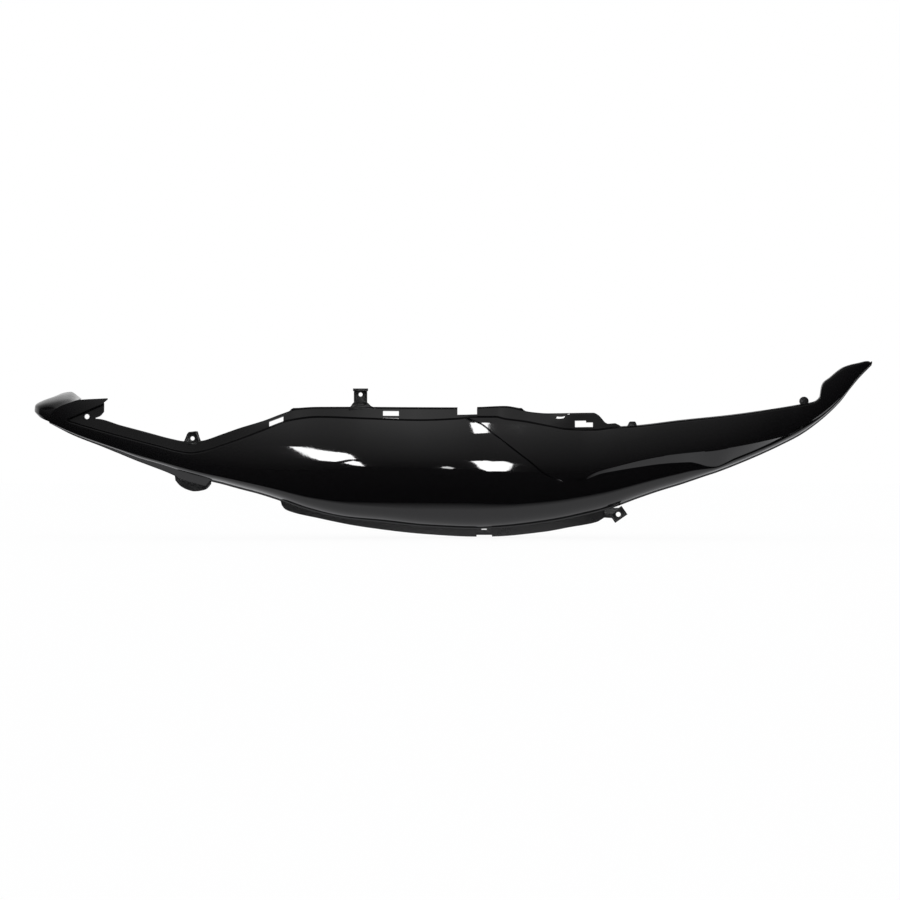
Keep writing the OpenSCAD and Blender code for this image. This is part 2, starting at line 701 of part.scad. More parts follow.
// Tray around the upper bore, on a flared foot that stands on the upper flange
module upper_lug() {
    half = lug_width / 2;
    rim_y = -lug_depth - pad_rise;
    flange_z = at(flange_top, 0);
    tray_z = flange_z + lug_neck;
    translate([-half, rim_y, tray_z])
        cube([lug_width, lug_depth + pad_rise + wall, lug_head - tray_z]);
    plate([
        [-half - foot_front, flange_z - foot_lap], [-half - foot_front, flange_z],
        [-half + tray_lap, tray_z + 2 * tray_lap], [half + foot_shoulder, tray_z + tray_lap],
        [half + foot_rear, flange_z], [half + foot_rear, flange_z - foot_lap]
    ], rim_y, wall);
}
module upper_lug_hollow() {
    inner = lug_width - 2 * lug_side;
    floor_z = at(flange_top, 0) + lug_neck + lug_shelf;
    translate([-inner / 2, -lug_depth - pad_rise - 1, floor_z])
        cube([inner, lug_depth + pad_rise + 1, lug_head - lug_bar - floor_z]);
    along_draw(0, -1, 0, lug_bore, wall + 2);
}

// Ear over the dip of the upper flange, with a raised rim and a ledge at its foot
module front_ear() {
    half = ear_width / 2;
    plate([
        [ear_x - half, ear_z - ear_foot], [ear_x - half, ear_z - 4.5], [ear_x - half + 4.2, ear_z + 5.7],
        [ear_x - half + 6, ear_z + 7.7], [ear_x + half - 6.7, ear_z + ear_head],
        [ear_x + half - 4.2, ear_z + ear_head - 0.3], [ear_x + half - 2.2, ear_z + 1.5],
        [ear_x + half, ear_z - 4], [ear_x + half, ear_z - ear_foot]
    ], ear_y - ear_rim, wall + ear_rim);
}
module front_ear_hollow() {
    half = ear_width / 2 - ear_frame;
    plate([
        [ear_x - half, ear_z - 4.5], [ear_x - half + 2.5, ear_z + 4.9], [ear_x - half + 4, ear_z + 6.3],
        [ear_x + half - 3.6, ear_z + ear_head - 1.8], [ear_x + half - 2, ear_z + 3.5],
        [ear_x + half, ear_z - 4.5]
    ], ear_y - ear_rim - 1, ear_rim + 1);
    along_draw(ear_x, ear_y - ear_rim, ear_z, ear_bore, ear_rim + wall + 1);
}

// Boss and screw bore in the floor of the nose pocket
module screw_boss() {
    along_draw(screw_x, screw_y + wall / 2, screw_z, nose_boss, wall / 2 + nose_boss_rise);
}
module screw_bore() {
    along_draw(
        screw_x, screw_y - screw_clear, screw_z, nose_bore,
        wall + nose_boss_rise + 2 * screw_clear
    );
}

// Sloping tray at the rear end of the lower flange
module lower_tab() {
    end = last(lower_flange_edge);
    translate([tab_x, tab_y, tab_z])
        rotate([0, -tab_angle, 0])
            translate([-tab_length / 2, 0, -tab_width / 2])
                cube([tab_length, tab_rim + wall, tab_width]);
    plate([
        [end[0] - bridge_lap, end[1] - 3.5], [end[0] - bridge_lap, end[1] + bridge_over + 1],
        [end[0] + 5, tab_z + bridge_over], [tab_x, tab_z + bridge_over],
        [tab_x - bridge_over, tab_z - bridge_under], [end[0] - bridge_seat, end[1] + bridge_seat]
    ], tab_y, wall);
}
module lower_tab_hollow() {
    translate([tab_x, tab_y, tab_z])
        rotate([0, -tab_angle, 0])
            translate([-tab_length / 2 + tab_frame, -1, -tab_width / 2 + tab_frame])
                cube([tab_length - 2 * tab_frame, tab_rim + 1, tab_width - 2 * tab_frame]);
    along_draw(tab_x, tab_y - 1, tab_z, tab_bore, tab_rim + wall + 2);
}

// Locating peg on the top edge of the tail, with a collar
module tail_peg() {
    along_draw(peg_x, peg_y, peg_z, peg_collar, collar_length);
    along_draw(peg_x, peg_y, peg_z, peg_diameter, peg_length + collar_length);
}

// Short stop on the top edge behind the upper flange
module rear_stop() {
    z = at(face_top, stop_x);
    plate([for (p = stop_outline) p + [stop_x, z]], face_y(stop_x, z) + stop_seat, wall);
}

// Clip behind the notch in the lower flange
module lower_clip() {
    half = lower_notch_length / 2 + clip_lap;
    top = at(curl_foot, lower_notch_x);
    foot = at(lower_flange_edge, lower_notch_x) + 2;
    front = flange_foot_y(lower_notch_x);
    difference() {
        plate([
            [lower_notch_x - half, foot], [lower_notch_x - half, top + 1],
            [lower_notch_x + half, top + 1], [lower_notch_x + half, foot]
        ], front + clip_seat, wall);
        translate([lower_notch_x - clip_slot_length / 2, front, top - clip_slot_drop])
            cube([clip_slot_length, 2 * wall + clip_seat, clip_slot_height]);
    }
}

module side_panel() {
    color(panel_color)
        difference() {
            union() {
                shell();
                upper_lug();
                front_ear();
                screw_boss();
                lower_tab();
                tail_peg();
                rear_stop();
                lower_clip();
                slot_step();
            }
            upper_lug_hollow();
            front_ear_hollow();
            screw_bore();
            lower_tab_hollow();
            seam();
        }
}

side_panel();
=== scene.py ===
"""Dresses the left-hand rear side panel of a scooter around its CAD solid.

The panel is one glossy black moulding. Its shell is drawn here as a fine mesh from the outlines and
formulas of the part's source, and its lugs are small solids with softened edges. Sizes are in
millimetres until a mesh is made. X runs from the nose to the tail, Z is up and the outer face looks
towards -Y.
"""

import logging
import math
from dataclasses import dataclass, field
from enum import Enum, IntEnum, auto
from typing import Sequence

import bmesh
import bpy
import numpy as np
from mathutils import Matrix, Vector


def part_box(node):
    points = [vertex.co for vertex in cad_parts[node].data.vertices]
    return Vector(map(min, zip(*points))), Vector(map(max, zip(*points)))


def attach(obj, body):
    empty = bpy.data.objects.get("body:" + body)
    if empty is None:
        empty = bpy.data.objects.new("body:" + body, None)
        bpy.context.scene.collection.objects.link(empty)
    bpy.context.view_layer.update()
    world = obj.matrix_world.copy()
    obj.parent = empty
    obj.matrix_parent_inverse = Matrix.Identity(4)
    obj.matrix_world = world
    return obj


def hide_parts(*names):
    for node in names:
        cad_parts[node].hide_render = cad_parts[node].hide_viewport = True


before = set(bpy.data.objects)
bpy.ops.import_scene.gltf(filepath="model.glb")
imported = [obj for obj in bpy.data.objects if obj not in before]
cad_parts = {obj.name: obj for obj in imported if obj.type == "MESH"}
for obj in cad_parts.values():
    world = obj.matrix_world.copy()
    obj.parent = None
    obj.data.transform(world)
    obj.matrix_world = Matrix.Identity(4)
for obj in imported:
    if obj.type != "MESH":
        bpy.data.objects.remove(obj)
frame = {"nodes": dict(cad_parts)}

LOG = logging.getLogger("side_panel")
NODE = "side_panel"
BODY = "root"
MM = 0.001
FLOOR_GAP = 0.0008

Knots = tuple[tuple[float, float], ...]
Colour = tuple[float, float, float]
Point = tuple[float, float]
Place = tuple[float, float, float]


def mix(a: np.ndarray | float, b: np.ndarray | float, share: np.ndarray | float) -> np.ndarray | float:
    """Value that lies the given share of the way from a to b."""
    return a + (b - a) * share


def eased(t: np.ndarray | float) -> np.ndarray | float:
    """Share that starts and ends softly, for t held between 0 and 1."""
    t = np.clip(t, 0.0, 1.0)
    return t * t * (3.0 - 2.0 * t)


def bezier(points: Sequence[np.ndarray], t: float) -> np.ndarray:
    """Point on a Bezier curve.

    Args:
        points: Its three or four control points, as arrays of one shape.
        t: Share of the way along the curve.

    Returns:
        The point, as an array of the same shape.
    """
    while len(points) > 1:
        points = [mix(a, b, t) for a, b in zip(points, points[1:])]
    return points[0]


@dataclass(frozen=True)
class Line:
    """Smooth line through (x, value) knots that never swings past them."""

    knots: Knots

    def at(self, x: np.ndarray | float) -> np.ndarray:
        """Value of the line at x, held at its ends.

        Args:
            x: Places along the panel, in millimetres.

        Returns:
            The values there.
        """
        x = np.asarray(x, float)
        places, values = np.array(self.knots, float).T
        rises = np.diff(values) / np.diff(places)
        before, after = rises[:-1], rises[1:]
        same_way = before * after > 0
        inner = np.where(same_way, 2 * before * after / np.where(same_way, before + after, 1.0), 0.0)
        slopes = np.concatenate([rises[:1], inner, rises[-1:]])
        i = np.clip(np.searchsorted(places, x, side="right") - 1, 0, len(rises) - 1)
        width = places[i + 1] - places[i]
        t = np.clip((x - places[i]) / width, 0.0, 1.0)
        return (
            values[i] * (2 * t**3 - 3 * t**2 + 1)
            + slopes[i] * width * (t**3 - 2 * t**2 + t)
            + values[i + 1] * (3 * t**2 - 2 * t**3)
            + slopes[i + 1] * width * (t**3 - t**2)
        )

    def covers(self, x: np.ndarray) -> np.ndarray:
        """Whether each place lies between the line's first and last knot."""
        return (x >= self.knots[0][0]) & (x <= self.knots[-1][0])


@dataclass(frozen=True)
class Outlines:
    """Outlines of the panel seen from its outer side, as [x, z] knots from the nose to the tail."""

    flange_top: Line = Line((
        (-374.7, -32.9), (-352.5, -30.4), (-335, -30), (-318, -28.9), (-287.5, -37), (-256.5, -45.2),
        (-225.5, -53.4), (-212.5, -55.9), (-201.5, -56.7), (-190, -55.4), (-165.5, -47.4), (-145, -40.2),
        (-116, -31.3), (-92, -22.2), (-78.5, -18), (-51, -16), (-14, -15.9), (52, -16.4), (115.5, -16.7),
        (139.5, -16.2), (173, -14.8), (204.5, -20.9), (225, -22.5), (279.5, -21.8), (285.5, -24.6),
        (296.5, -35), (305.5, -34.4), (309.6, -36.2), (620.5, 45),
    ))
    face_top: Line = Line((
        (-374.7, -33), (-352.5, -32.4), (-333, -37.4), (-303, -45.8), (-271.5, -54.2), (-242, -61.8),
        (-219, -67.8), (-203.5, -70), (-188, -67.8), (-165, -60.6), (-144.5, -53.4), (-108.5, -39.5),
        (-88, -31.4), (-51, -26.7), (4, -28.6), (71.5, -30.7), (117, -28.9), (139.5, -26.6),
        (162.5, -26.6), (173, -29.1), (197, -32.2), (220, -36.6), (250, -41.4), (281, -42), (304, -39.4),
        (333, -37.4), (383.5, -31.3), (445.5, -24.8), (492, -18.3), (529.5, -12.2), (547.5, -8.6),
        (552.5, -5.4), (554.8, -1.8), (556.6, 9), (559.5, 14.6), (567, 20.3), (579, 29.9), (584.5, 33.2),
        (591.5, 35.7), (604, 38.9), (614.5, 41.3), (620.5, 39),
    ))
    belt: Line = Line((
        (-374.7, -33.2), (-337, -42.6), (-288.5, -58.2), (-187.5, -83.4), (-72, -90.5), (4.5, -86.9),
        (114.5, -88.1), (215, -96.5), (261.5, -100.8), (287, -91.4), (311, -85), (335, -79), (359, -74.4),
        (383, -71.2), (407, -68.8), (429, -66.2), (455, -62), (484, -56.2), (517.5, -47.6), (536, -36.4),
        (554.5, -24), (577, -6), (590, 8), (600, 19.5), (620.5, 38.9),
    ))
    crown: Line = Line((
        (-374.7, -33.2), (-337, -42.6), (-288.5, -58.2), (-187.5, -83.4), (-72, -90.5), (4.5, -86.9),
        (114.5, -88.1), (190, -92.5), (262, -93), (311, -88), (359, -80.5), (407, -73), (455, -64),
        (484, -57), (517.5, -47.6), (536, -36.4), (554.5, -24), (577, -6), (590, 8), (600, 19.5),
        (620.5, 38.9),
    ))
    shelf: Line = Line((
        (-374.7, -33.3), (-337, -44), (-288.5, -60), (-187.5, -87), (-72, -98), (4.5, -97), (114.5, -99),
        (215, -103), (262, -103.8), (287, -95.4), (311, -90.8), (335, -87), (359, -83.6), (383.5, -81.6),
        (395.5, -81.2), (407.5, -83.4), (417, -86.2), (425, -86.8), (450.5, -76.4), (477, -66),
        (508, -52.2), (531, -39.8), (556, -25.2), (577, -7.2), (590, 7.2), (600, 18.9), (620.5, 38.8),
    ))
    curl_top: Line = Line((
        (-374.7, -33.5), (-338, -48.5), (-289.5, -65.2), (-226.5, -83.4), (-188, -93.4), (-144.5, -102.4),
        (-106, -110.8), (-51, -123.6), (4.5, -132.1), (71.5, -136.4), (114.5, -136.6), (166, -133.6),
        (215, -126.8), (240, -122), (263, -116.8), (287, -111.6), (311, -106.4), (335, -101.2), (359, -96),
        (383, -91.2), (401, -88.8), (425, -88), (450.5, -78), (477, -67.2), (508, -53.6), (531, -41.2),
        (556, -26.6), (577, -8.4), (590, 6.2), (600, 18.2), (620.5, 38.7),
    ))
    curl_foot: Line = Line((
        (-374.7, -33.9), (-340.5, -49.6), (-291.5, -67.3), (-267, -76.6), (-236, -85.9), (-213, -93.6),
        (-180.5, -102.4), (-168.5, -105.2), (-146, -111.4), (-123, -117.4), (-101.5, -124.2),
        (-61.5, -138), (-15.5, -148.2), (23, -152.1), (81, -158.1), (138.5, -160.5), (161.5, -159.7),
        (219.5, -153.3), (276, -142.1), (298, -136), (336, -122.2), (361, -113.8), (385, -106.6),
        (412, -97.6), (431.5, -91.2), (478.5, -72.4), (510.5, -57.6), (531, -47), (556, -29.4),
        (580, -7.4), (595, 11.4), (605, 23), (620.5, 38.5),
    ))
    nose_crease: Line = Line((
        (-374.7, -32.6), (-374.2, -28.8), (-373.5, -25.6), (-370, -20.8), (-365, -16), (-356.5, -11.9),
        (-348, -9), (-339.5, -6.4), (-304, -4.4),
    ))
    ear_fold: Line = Line(((-352.5, -29.2), (-333.5, -21.1), (-318, -14.3), (-312, -11.8), (-304, -5.8)))
    hook_edge: Line = Line((
        (-352.5, -29.9), (-333, -28.6), (-318.5, -27.5), (-314, -26), (-312, -24.6), (-308.5, -20.6),
        (-304, -19),
    ))
    return_drop: Line = Line((
        (-374.7, 0.6), (-322, 1), (-291.5, 2.5), (-267, 3.2), (-244, 5), (-224, 7), (-217, 9), (-188, 9.4),
        (-181, 1.2), (620.5, 1),
    ))
    front_tab: Line = Line((
        (-223.5, -103), (-217.5, -110), (-209, -114.5), (-200.5, -116.5), (-189, -114.9), (-181.5, -107.6),
    ))
    lower_flange: Line = Line((
        (-96, -129.5), (-95, -133), (-89, -139), (-51.5, -148.5), (4, -159.3), (81, -168.1),
        (138.5, -170.9), (159, -170.7), (219.5, -165.2), (251, -159.6), (283.5, -153.4), (293, -148),
    ))
    curl_depth: Line = Line((
        (-374.7, 5), (-300, 12), (-225, 18), (-140, 22), (0, 23), (140, 24), (250, 23), (321, 20),
        (385, 17), (430, 14), (478, 14), (510, 14), (542, 12), (575, 9), (600, 6), (620.5, 3),
    ))
    shelf_depth: Line = Line((
        (-374.7, 0), (240, 0), (288, 2), (335, 5), (384, 9), (425, 14), (450, 13.5), (477, 11), (508, 6),
        (540, 3), (620.5, 1),
    ))
    seam: Line = Line((
        (124, -26.8), (127.6, -28.9), (143.8, -35), (159.9, -47.4), (181.5, -64.2), (204.3, -81.8),
        (219.9, -94.7), (234.8, -101.7), (242.6, -104.5),
    ))


@dataclass(frozen=True)
class Slot:
    """A slot or notch in a flange, by its middle, length, drop below the flange's top and height."""

    middle: float
    length: float
    drop: float = 0.0
    height: float = 0.0

    @property
    def ends(self) -> Point:
        """Places where the slot begins and ends."""
        return self.middle - self.length / 2, self.middle + self.length / 2

    def holds(self, x: np.ndarray) -> np.ndarray:
        """Whether each place lies in the slot."""
        return np.abs(x - self.middle) <= self.length / 2 + 0.01


@dataclass(frozen=True)
class ShellSizes:
    """Sizes of the shell, in millimetres."""

    wall: float = 2.5
    crown_radius: float = 170.0
    bow_radius: float = 3650.0
    bow_centre: float = 60.0
    tail_sweep: float = 32.0
    tail_sweep_start: float = 300.0
    nose_turn: float = 3.0
    nose_turn_start: float = -330.0
    flange_step: float = 3.5
    flange_lean: float = 0.2
    flange_tilt: float = 0.17
    tilt_start: float = -130.0
    tilt_grows: float = 35.0
    tilt_end: float = 255.0
    tilt_fades: float = 30.0
    lip_depth: float = 5.5
    lug_depth: float = 4.0
    nose_x: float = -374.7
    tail_x: float = 620.5
    pocket_x: float = -352.5
    pocket_floor_x: float = -349.0
    hood_end: float = -339.5
    hook_root: float = -318.5
    fold_end: float = -312.0
    hook_end: float = -308.5
    ear_tip: float = -304.0
    flange_end: float = 309.6
    lip_start: float = 312.5
    tail_squeeze: float = 596.0
    edge_drop: float = 0.9
    edge_fade: float = 24.0
    edge_set: float = 0.3
    foot_set: float = 0.6
    ramp_slope: float = 0.8
    ramp_reach: float = 8.0
    root_rise: float = 0.4
    lip_rise: float = 0.8
    fold_width: float = 0.5
    corner_radius: float = 2.6
    corner_share: float = 0.6
    fillet_radius: float = 1.0
    fillet_share: float = 0.22
    curl_belly: float = 0.55
    curl_swell: float = 0.5
    curl_flat: float = 0.04
    rim_radius: float = 0.5
    front_slot: Slot = Slot(-101.0, 17.0, 3.4, 6.2)
    middle_slot: Slot = Slot(36.5, 19.0, 2.9, 6.4)
    rear_slot: Slot = Slot(268.0, 21.5, 9.2, 8.0)
    upper_notch: Slot = Slot(128.0, 23.5, 0.0, 7.6)
    lower_notch: Slot = Slot(148.5, 18.5)
    slot_step_x: float = 270.6

    @property
    def slots(self) -> tuple[Slot, ...]:
        """The closed slots of the upper flange."""
        return self.front_slot, self.middle_slot, self.rear_slot


class Level(IntEnum):
    """Heights that bound the bands of a section, from the crease of the nose downwards."""

    CREASE = 0
    FOLD = 1
    FOLD_FOOT = 2
    HOOK = 3
    TOP = 4
    SLOT_TOP = 5
    SLOT_FOOT = 6
    ROOT = 7
    FACE = 8
    BELT = 9
    SHELF = 10
    CURL = 11


class Band(Enum):
    """Bands of a section, from the far edge of the nose's wrap to the edge of the lower flange."""

    HOOD = auto()
    EAR = auto()
    FOLD = auto()
    POCKET = auto()
    HOOK = auto()
    RIM = auto()
    TOP = auto()
    SLOT = auto()
    ROOT = auto()
    FILLET = auto()
    CORNER = auto()
    FACE = auto()
    SHELF = auto()
    LOW = auto()
    CURL = auto()
    RAMP = auto()
    EDGE = auto()


# The levels that bound each plain band
BOUNDS: dict[Band, tuple[Level, Level]] = {
    Band.EAR: (Level.CREASE, Level.FOLD),
    Band.FOLD: (Level.FOLD, Level.FOLD_FOOT),
    Band.POCKET: (Level.FOLD_FOOT, Level.HOOK),
    Band.HOOK: (Level.HOOK, Level.TOP),
    Band.TOP: (Level.TOP, Level.SLOT_TOP),
    Band.SLOT: (Level.SLOT_TOP, Level.SLOT_FOOT),
    Band.ROOT: (Level.SLOT_FOOT, Level.ROOT),
    Band.SHELF: (Level.BELT, Level.SHELF),
    Band.LOW: (Level.SHELF, Level.CURL),
}

# Depth of the tail's rolled lip at each level, as a share of its full depth
LIP_SHARES: dict[Level, float] = {
    Level.HOOK: 1.0, Level.TOP: 1.0, Level.SLOT_TOP: 0.9, Level.SLOT_FOOT: 0.82, Level.ROOT: 0.75,
}


@dataclass(frozen=True)
class Row:
    """One row of the shell's grid."""

    band: Band
    share: float


class PanelForm:
    """The outer surface of the panel, as functions of the place along it."""

    FLANGE_SHARES = (0.32, 0.66)
    HOOD_POINTS = np.array([
        [[-386.5, 56, -25.3], [-391, 34, -24.3], [-385.5, 17, -28]],
        [[-390.5, 60, -19.1], [-395.5, 36, -18.8], [-389, 18, -22.6]],
        [[-389.5, 62, -11.8], [-395, 38, -12.7], [-389, 19, -17.2]],
        [[-383.5, 64, -5.1], [-388, 40, -7.8], [-383.5, 20, -12.9]],
        [[-374, 65, -0.8], [-377.5, 41, -4.2], [-375, 21, -9.9]],
        [[-363, 65, 3.3], [-364, 42, -0.5], [-363, 21, -6.3]],
        [[-354.5, 64, 4.3], [-353, 42, 0.7], [-351, 20, -4.5]],
        [[-340, 48, -4.3], [-340, 34, -4.6], [-340, 18, -5.2]],
    ])

    def __init__(self, sizes: ShellSizes, lines: Outlines) -> None:
        """Keep the sizes and outlines, and work out where the middle of the face lies.

        Args:
            sizes: Sizes of the shell.
            lines: Its outlines.
        """
        self.sizes = sizes
        self.lines = lines
        face, top = float(lines.face_top.at(0.0)), float(lines.flange_top.at(0.0))
        crown = (face - float(lines.crown.at(0.0))) ** 2 / (2 * sizes.crown_radius)
        self.middle_y = (
            -sizes.lug_depth - sizes.flange_step - sizes.flange_lean * (top - face)
            - crown - float(self.bow(np.array(0.0)))
        )

    def bow(self, x: np.ndarray) -> np.ndarray:
        """How far the plan of the face lies behind its middle.

        Args:
            x: Places along the panel, in millimetres.

        Returns:
            Depths behind the middle, in millimetres.
        """
        s = self.sizes
        tail = np.clip((x - s.tail_sweep_start) / (s.tail_x - s.tail_sweep_start), 0, None)
        nose = np.clip((x - s.nose_turn_start) / (s.nose_x - s.nose_turn_start), 0, None)
        return (x - s.bow_centre) ** 2 / (2 * s.bow_radius) + s.tail_sweep * tail**3 + s.nose_turn * nose**2

    def face_y(self, x: np.ndarray, z: np.ndarray) -> np.ndarray:
        """Depth of the outer face: a crown about the belt line, a bowed plan and the shelf below.

        Args:
            x: Places along the panel, in millimetres.
            z: Heights at them.

        Returns:
            Depths of the face there.
        """
        belt, shelf = self.lines.belt.at(x), self.lines.shelf.at(x)
        crown = (z - self.lines.crown.at(x)) ** 2 / (2 * self.sizes.crown_radius)
        cut = np.clip((belt - z) / np.maximum(belt - shelf, 0.01), 0, 1)
        return self.middle_y + self.bow(x) + crown + self.lines.shelf_depth.at(x) * cut

    def flange_y(self, x: np.ndarray, z: np.ndarray) -> np.ndarray:
        """Depth of the upper flange: set in from the face, leaning in and tilted over the middle.

        Args:
            x: Places along the panel, in millimetres.
            z: Heights at them.

        Returns:
            Depths of the flange there.
        """
        s, face, top = self.sizes, self.lines.face_top.at(x), self.lines.flange_top.at(x)
        grown = eased((x - s.tilt_start) / s.tilt_grows)
        tilt = s.flange_tilt * grown * eased((s.tilt_end - x) / s.tilt_fades)
        lean = s.flange_lean * (z - face)
        return self.face_y(x, face) + s.flange_step + lean + tilt * (z - (face + top) / 2)

    def flange_foot_y(self, x: float) -> float:
        """Depth of the lower flange at its root."""
        top = self.lines.curl_top.at(x)
        return float(self.face_y(x, top) + self.lines.curl_depth.at(x) + self.sizes.foot_set)

    def lipped(self, x: np.ndarray) -> np.ndarray:
        """How far the flange has given way to the tail's rolled lip, from 0 to 1."""
        s = self.sizes
        return np.clip((x - s.flange_end) / (s.lip_start - s.flange_end), 0, 1)

    def free_rim(self, x: np.ndarray) -> np.ndarray:
        """Radius of the flange's rounded rim, which the nose and the tail don't have."""
        s = self.sizes
        return np.where(x > s.hook_root, s.rim_radius, 0.0) * np.where(x > s.flange_end, 0.0, 1.0)

    def true_levels(self, x: np.ndarray) -> np.ndarray:
        """Heights of the levels between the pocket and the tail, one row a level.

        Args:
            x: Places along the panel, in millimetres.

        Returns:
            One row of heights for each level, in the order of Level.
        """
        s, lines = self.sizes, self.lines
        top, face = lines.flange_top.at(x), lines.face_top.at(x)
        drops = [share * (top - face) for share in self.FLANGE_SHARES]
        for slot in s.slots:
            inside = slot.holds(x)
            upper = np.where(inside, slot.drop, drops[0])
            drops = [upper, np.where(inside, slot.drop + slot.height, drops[1])]
        inside = s.upper_notch.holds(x)
        depth = s.upper_notch.height
        drops = [np.where(inside, depth / 2, drops[0]), np.where(inside, depth, drops[1])]
        lipped = self.lipped(x)
        lip = face + s.lip_rise
        fold = lines.ear_fold.at(x)
        return np.array([
            lines.nose_crease.at(x), fold, fold - s.fold_width, lines.hook_edge.at(x),
            mix(top, lip, lipped), mix(top - drops[0], lip, lipped), mix(top - drops[1], lip, lipped),
            face + s.root_rise, face, lines.belt.at(x), lines.shelf.at(x), lines.curl_top.at(x),
        ])

    def levels(self, x: np.ndarray) -> np.ndarray:
        """Heights of the levels anywhere, drawn together at the nose and at the tip of the tail.

        Args:
            x: Places along the panel.

        Returns:
            One row of heights for each level.
        """
        s, lines = self.sizes, self.lines
        true = self.true_levels(np.clip(x, s.pocket_x, s.tail_squeeze))
        foot, new_foot = lines.curl_foot.at(np.clip(x, s.pocket_x, s.tail_squeeze)), lines.curl_foot.at(x)
        nose_top, tail_top = true[Level.CREASE], true[Level.FACE]
        at_nose = mix(lines.nose_crease.at(x), new_foot, (true - nose_top) / (foot - nose_top))
        at_tail = mix(lines.face_top.at(x), new_foot, (true - tail_top) / (foot - tail_top))
        return np.where(x < s.pocket_x, at_nose, np.where(x > s.tail_squeeze, at_tail, true))

    def inset(self, x: np.ndarray, z: np.ndarray, lip_share: float) -> np.ndarray:
        """Depth of a point on the flange, on the pocket's floor or on the tail's lip.

        Args:
            x: Places along the panel.
            z: Heights there.
            lip_share: Share of the lip's depth that the point takes along the tail.

        Returns:
            The depths.
        """
        s = self.sizes
        pocket = np.clip((x - s.pocket_x) / (s.pocket_floor_x - s.pocket_x), 0, 1)
        face = self.face_y(x, z)
        set_in = face + pocket * (self.flange_y(x, z) - face)
        lip = lip_share * s.lip_depth + self.face_y(x, self.levels(x)[Level.FACE])
        return mix(set_in, lip, self.lipped(x))

    def hood(self, share: float, x: np.ndarray) -> np.ndarray:
        """Points of the wrap of the nose, from its far edge at 0 to the crease at 1.

        Args:
            share: Place across the wrap, from 0 to 1.
            x: Places along the panel, in millimetres.

        Returns:
            Points as [x, y, z], one column a place.
        """
        s = self.sizes
        x = np.minimum(x, s.hood_end)
        places = [knot[0] for knot in self.lines.nose_crease.knots[:len(self.HOOD_POINTS)]]
        lines = [
            np.array([Line(tuple(zip(places, self.HOOD_POINTS[:, k, axis]))).at(x) for axis in range(3)])
            for k in range(3)
        ]
        crease = np.array([x, self.face_y(x, self.lines.nose_crease.at(x)), self.lines.nose_crease.at(x)])
        knots = [2 * lines[0] - lines[1], *lines, crease, 2 * crease - lines[2]]
        spans = len(lines)
        place = min(share * spans, spans - 0.0001)
        i, t = int(place), place - int(place)
        a, b, c, d = knots[i:i + 4]
        bend = 2 * b + (c - a) * t + (2 * a - 5 * b + 4 * c - d) * t**2
        return 0.5 * (bend + (3 * b - a - 3 * c + d) * t**3)

    def curl(self, share: float, x: np.ndarray, top: np.ndarray) -> np.ndarray:
        """Points of the under-curl, from the face at 0 to level at 1, as [y, z].

        Args:
            share: Place down the curl, from 0 to 1.
            x: Places along the panel, in millimetres.
            top: Heights at which the curl starts.

        Returns:
            Depths and heights, one column a place.
        """
        s, foot = self.sizes, self.lines.curl_foot.at(x)
        y, depth, drop = self.face_y(x, top), self.lines.curl_depth.at(x), top - foot
        slope = (self.lines.crown.at(x) - top) / s.crown_radius
        return bezier([
            np.array([y, top]), np.array([y + slope * drop * s.curl_belly, top - drop * s.curl_belly]),
            np.array([y + depth * s.curl_swell, foot + drop * s.curl_flat]), np.array([y + depth, foot]),
        ], share)

    def low_edge(self, x: np.ndarray, ramp: np.ndarray) -> np.ndarray:
        """Height of the shell's lower edge: the front tab, the lower flange or the plain edge.

        Args:
            x: Places along the panel, in millimetres.
            ramp: Heights that the plain edge lies below.

        Returns:
            Heights of the edge.
        """
        s = self.sizes
        plain = ramp - s.edge_drop * np.clip((x - s.nose_x) / s.edge_fade, 0, 1)
        tab = np.where(self.lines.front_tab.covers(x), self.lines.front_tab.at(x), plain)
        flange = np.where(self.lines.lower_flange.covers(x), self.lines.lower_flange.at(x), plain)
        return np.minimum(plain, np.minimum(tab, flange))

    def corner(self, x: np.ndarray, levels: np.ndarray) -> dict[str, np.ndarray]:
        """Points that shape the step from the flange to the face, as [y, z].

        Args:
            x: Places along the panel.
            levels: Heights of the levels there.

        Returns:
            The root of the flange and the point above it, the corner of the face, and where the
            roundings begin and end.
        """
        s = self.sizes
        face = np.array([self.face_y(x, levels[Level.FACE]), levels[Level.FACE]])
        root = np.array([self.inset(x, levels[Level.ROOT], LIP_SHARES[Level.ROOT]), levels[Level.ROOT]])
        above = np.array([
            self.inset(x, levels[Level.SLOT_FOOT], LIP_SHARES[Level.SLOT_FOOT]), levels[Level.SLOT_FOOT],
        ])
        ledge = np.maximum(np.hypot(*(root - face)), 1e-6)
        rise = np.maximum(np.hypot(*(above - root)), 1e-6)
        round_r = np.minimum(s.corner_radius, s.corner_share * ledge)
        round_r = np.minimum(round_r, 0.5 * (levels[Level.FACE] - levels[Level.BELT]))
        fillet_r = np.minimum(s.fillet_radius, s.fillet_share * ledge)
        low = levels[Level.FACE] - round_r
        return {
            "face": face, "root": root, "above": above,
            "fillet_start": mix(root, above, np.minimum(fillet_r / rise, 0.5)),
            "fillet_end": mix(root, face, fillet_r / ledge),
            "round_start": mix(face, root, round_r / ledge),
            "round_end": np.array([self.face_y(x, low), low]),
        }

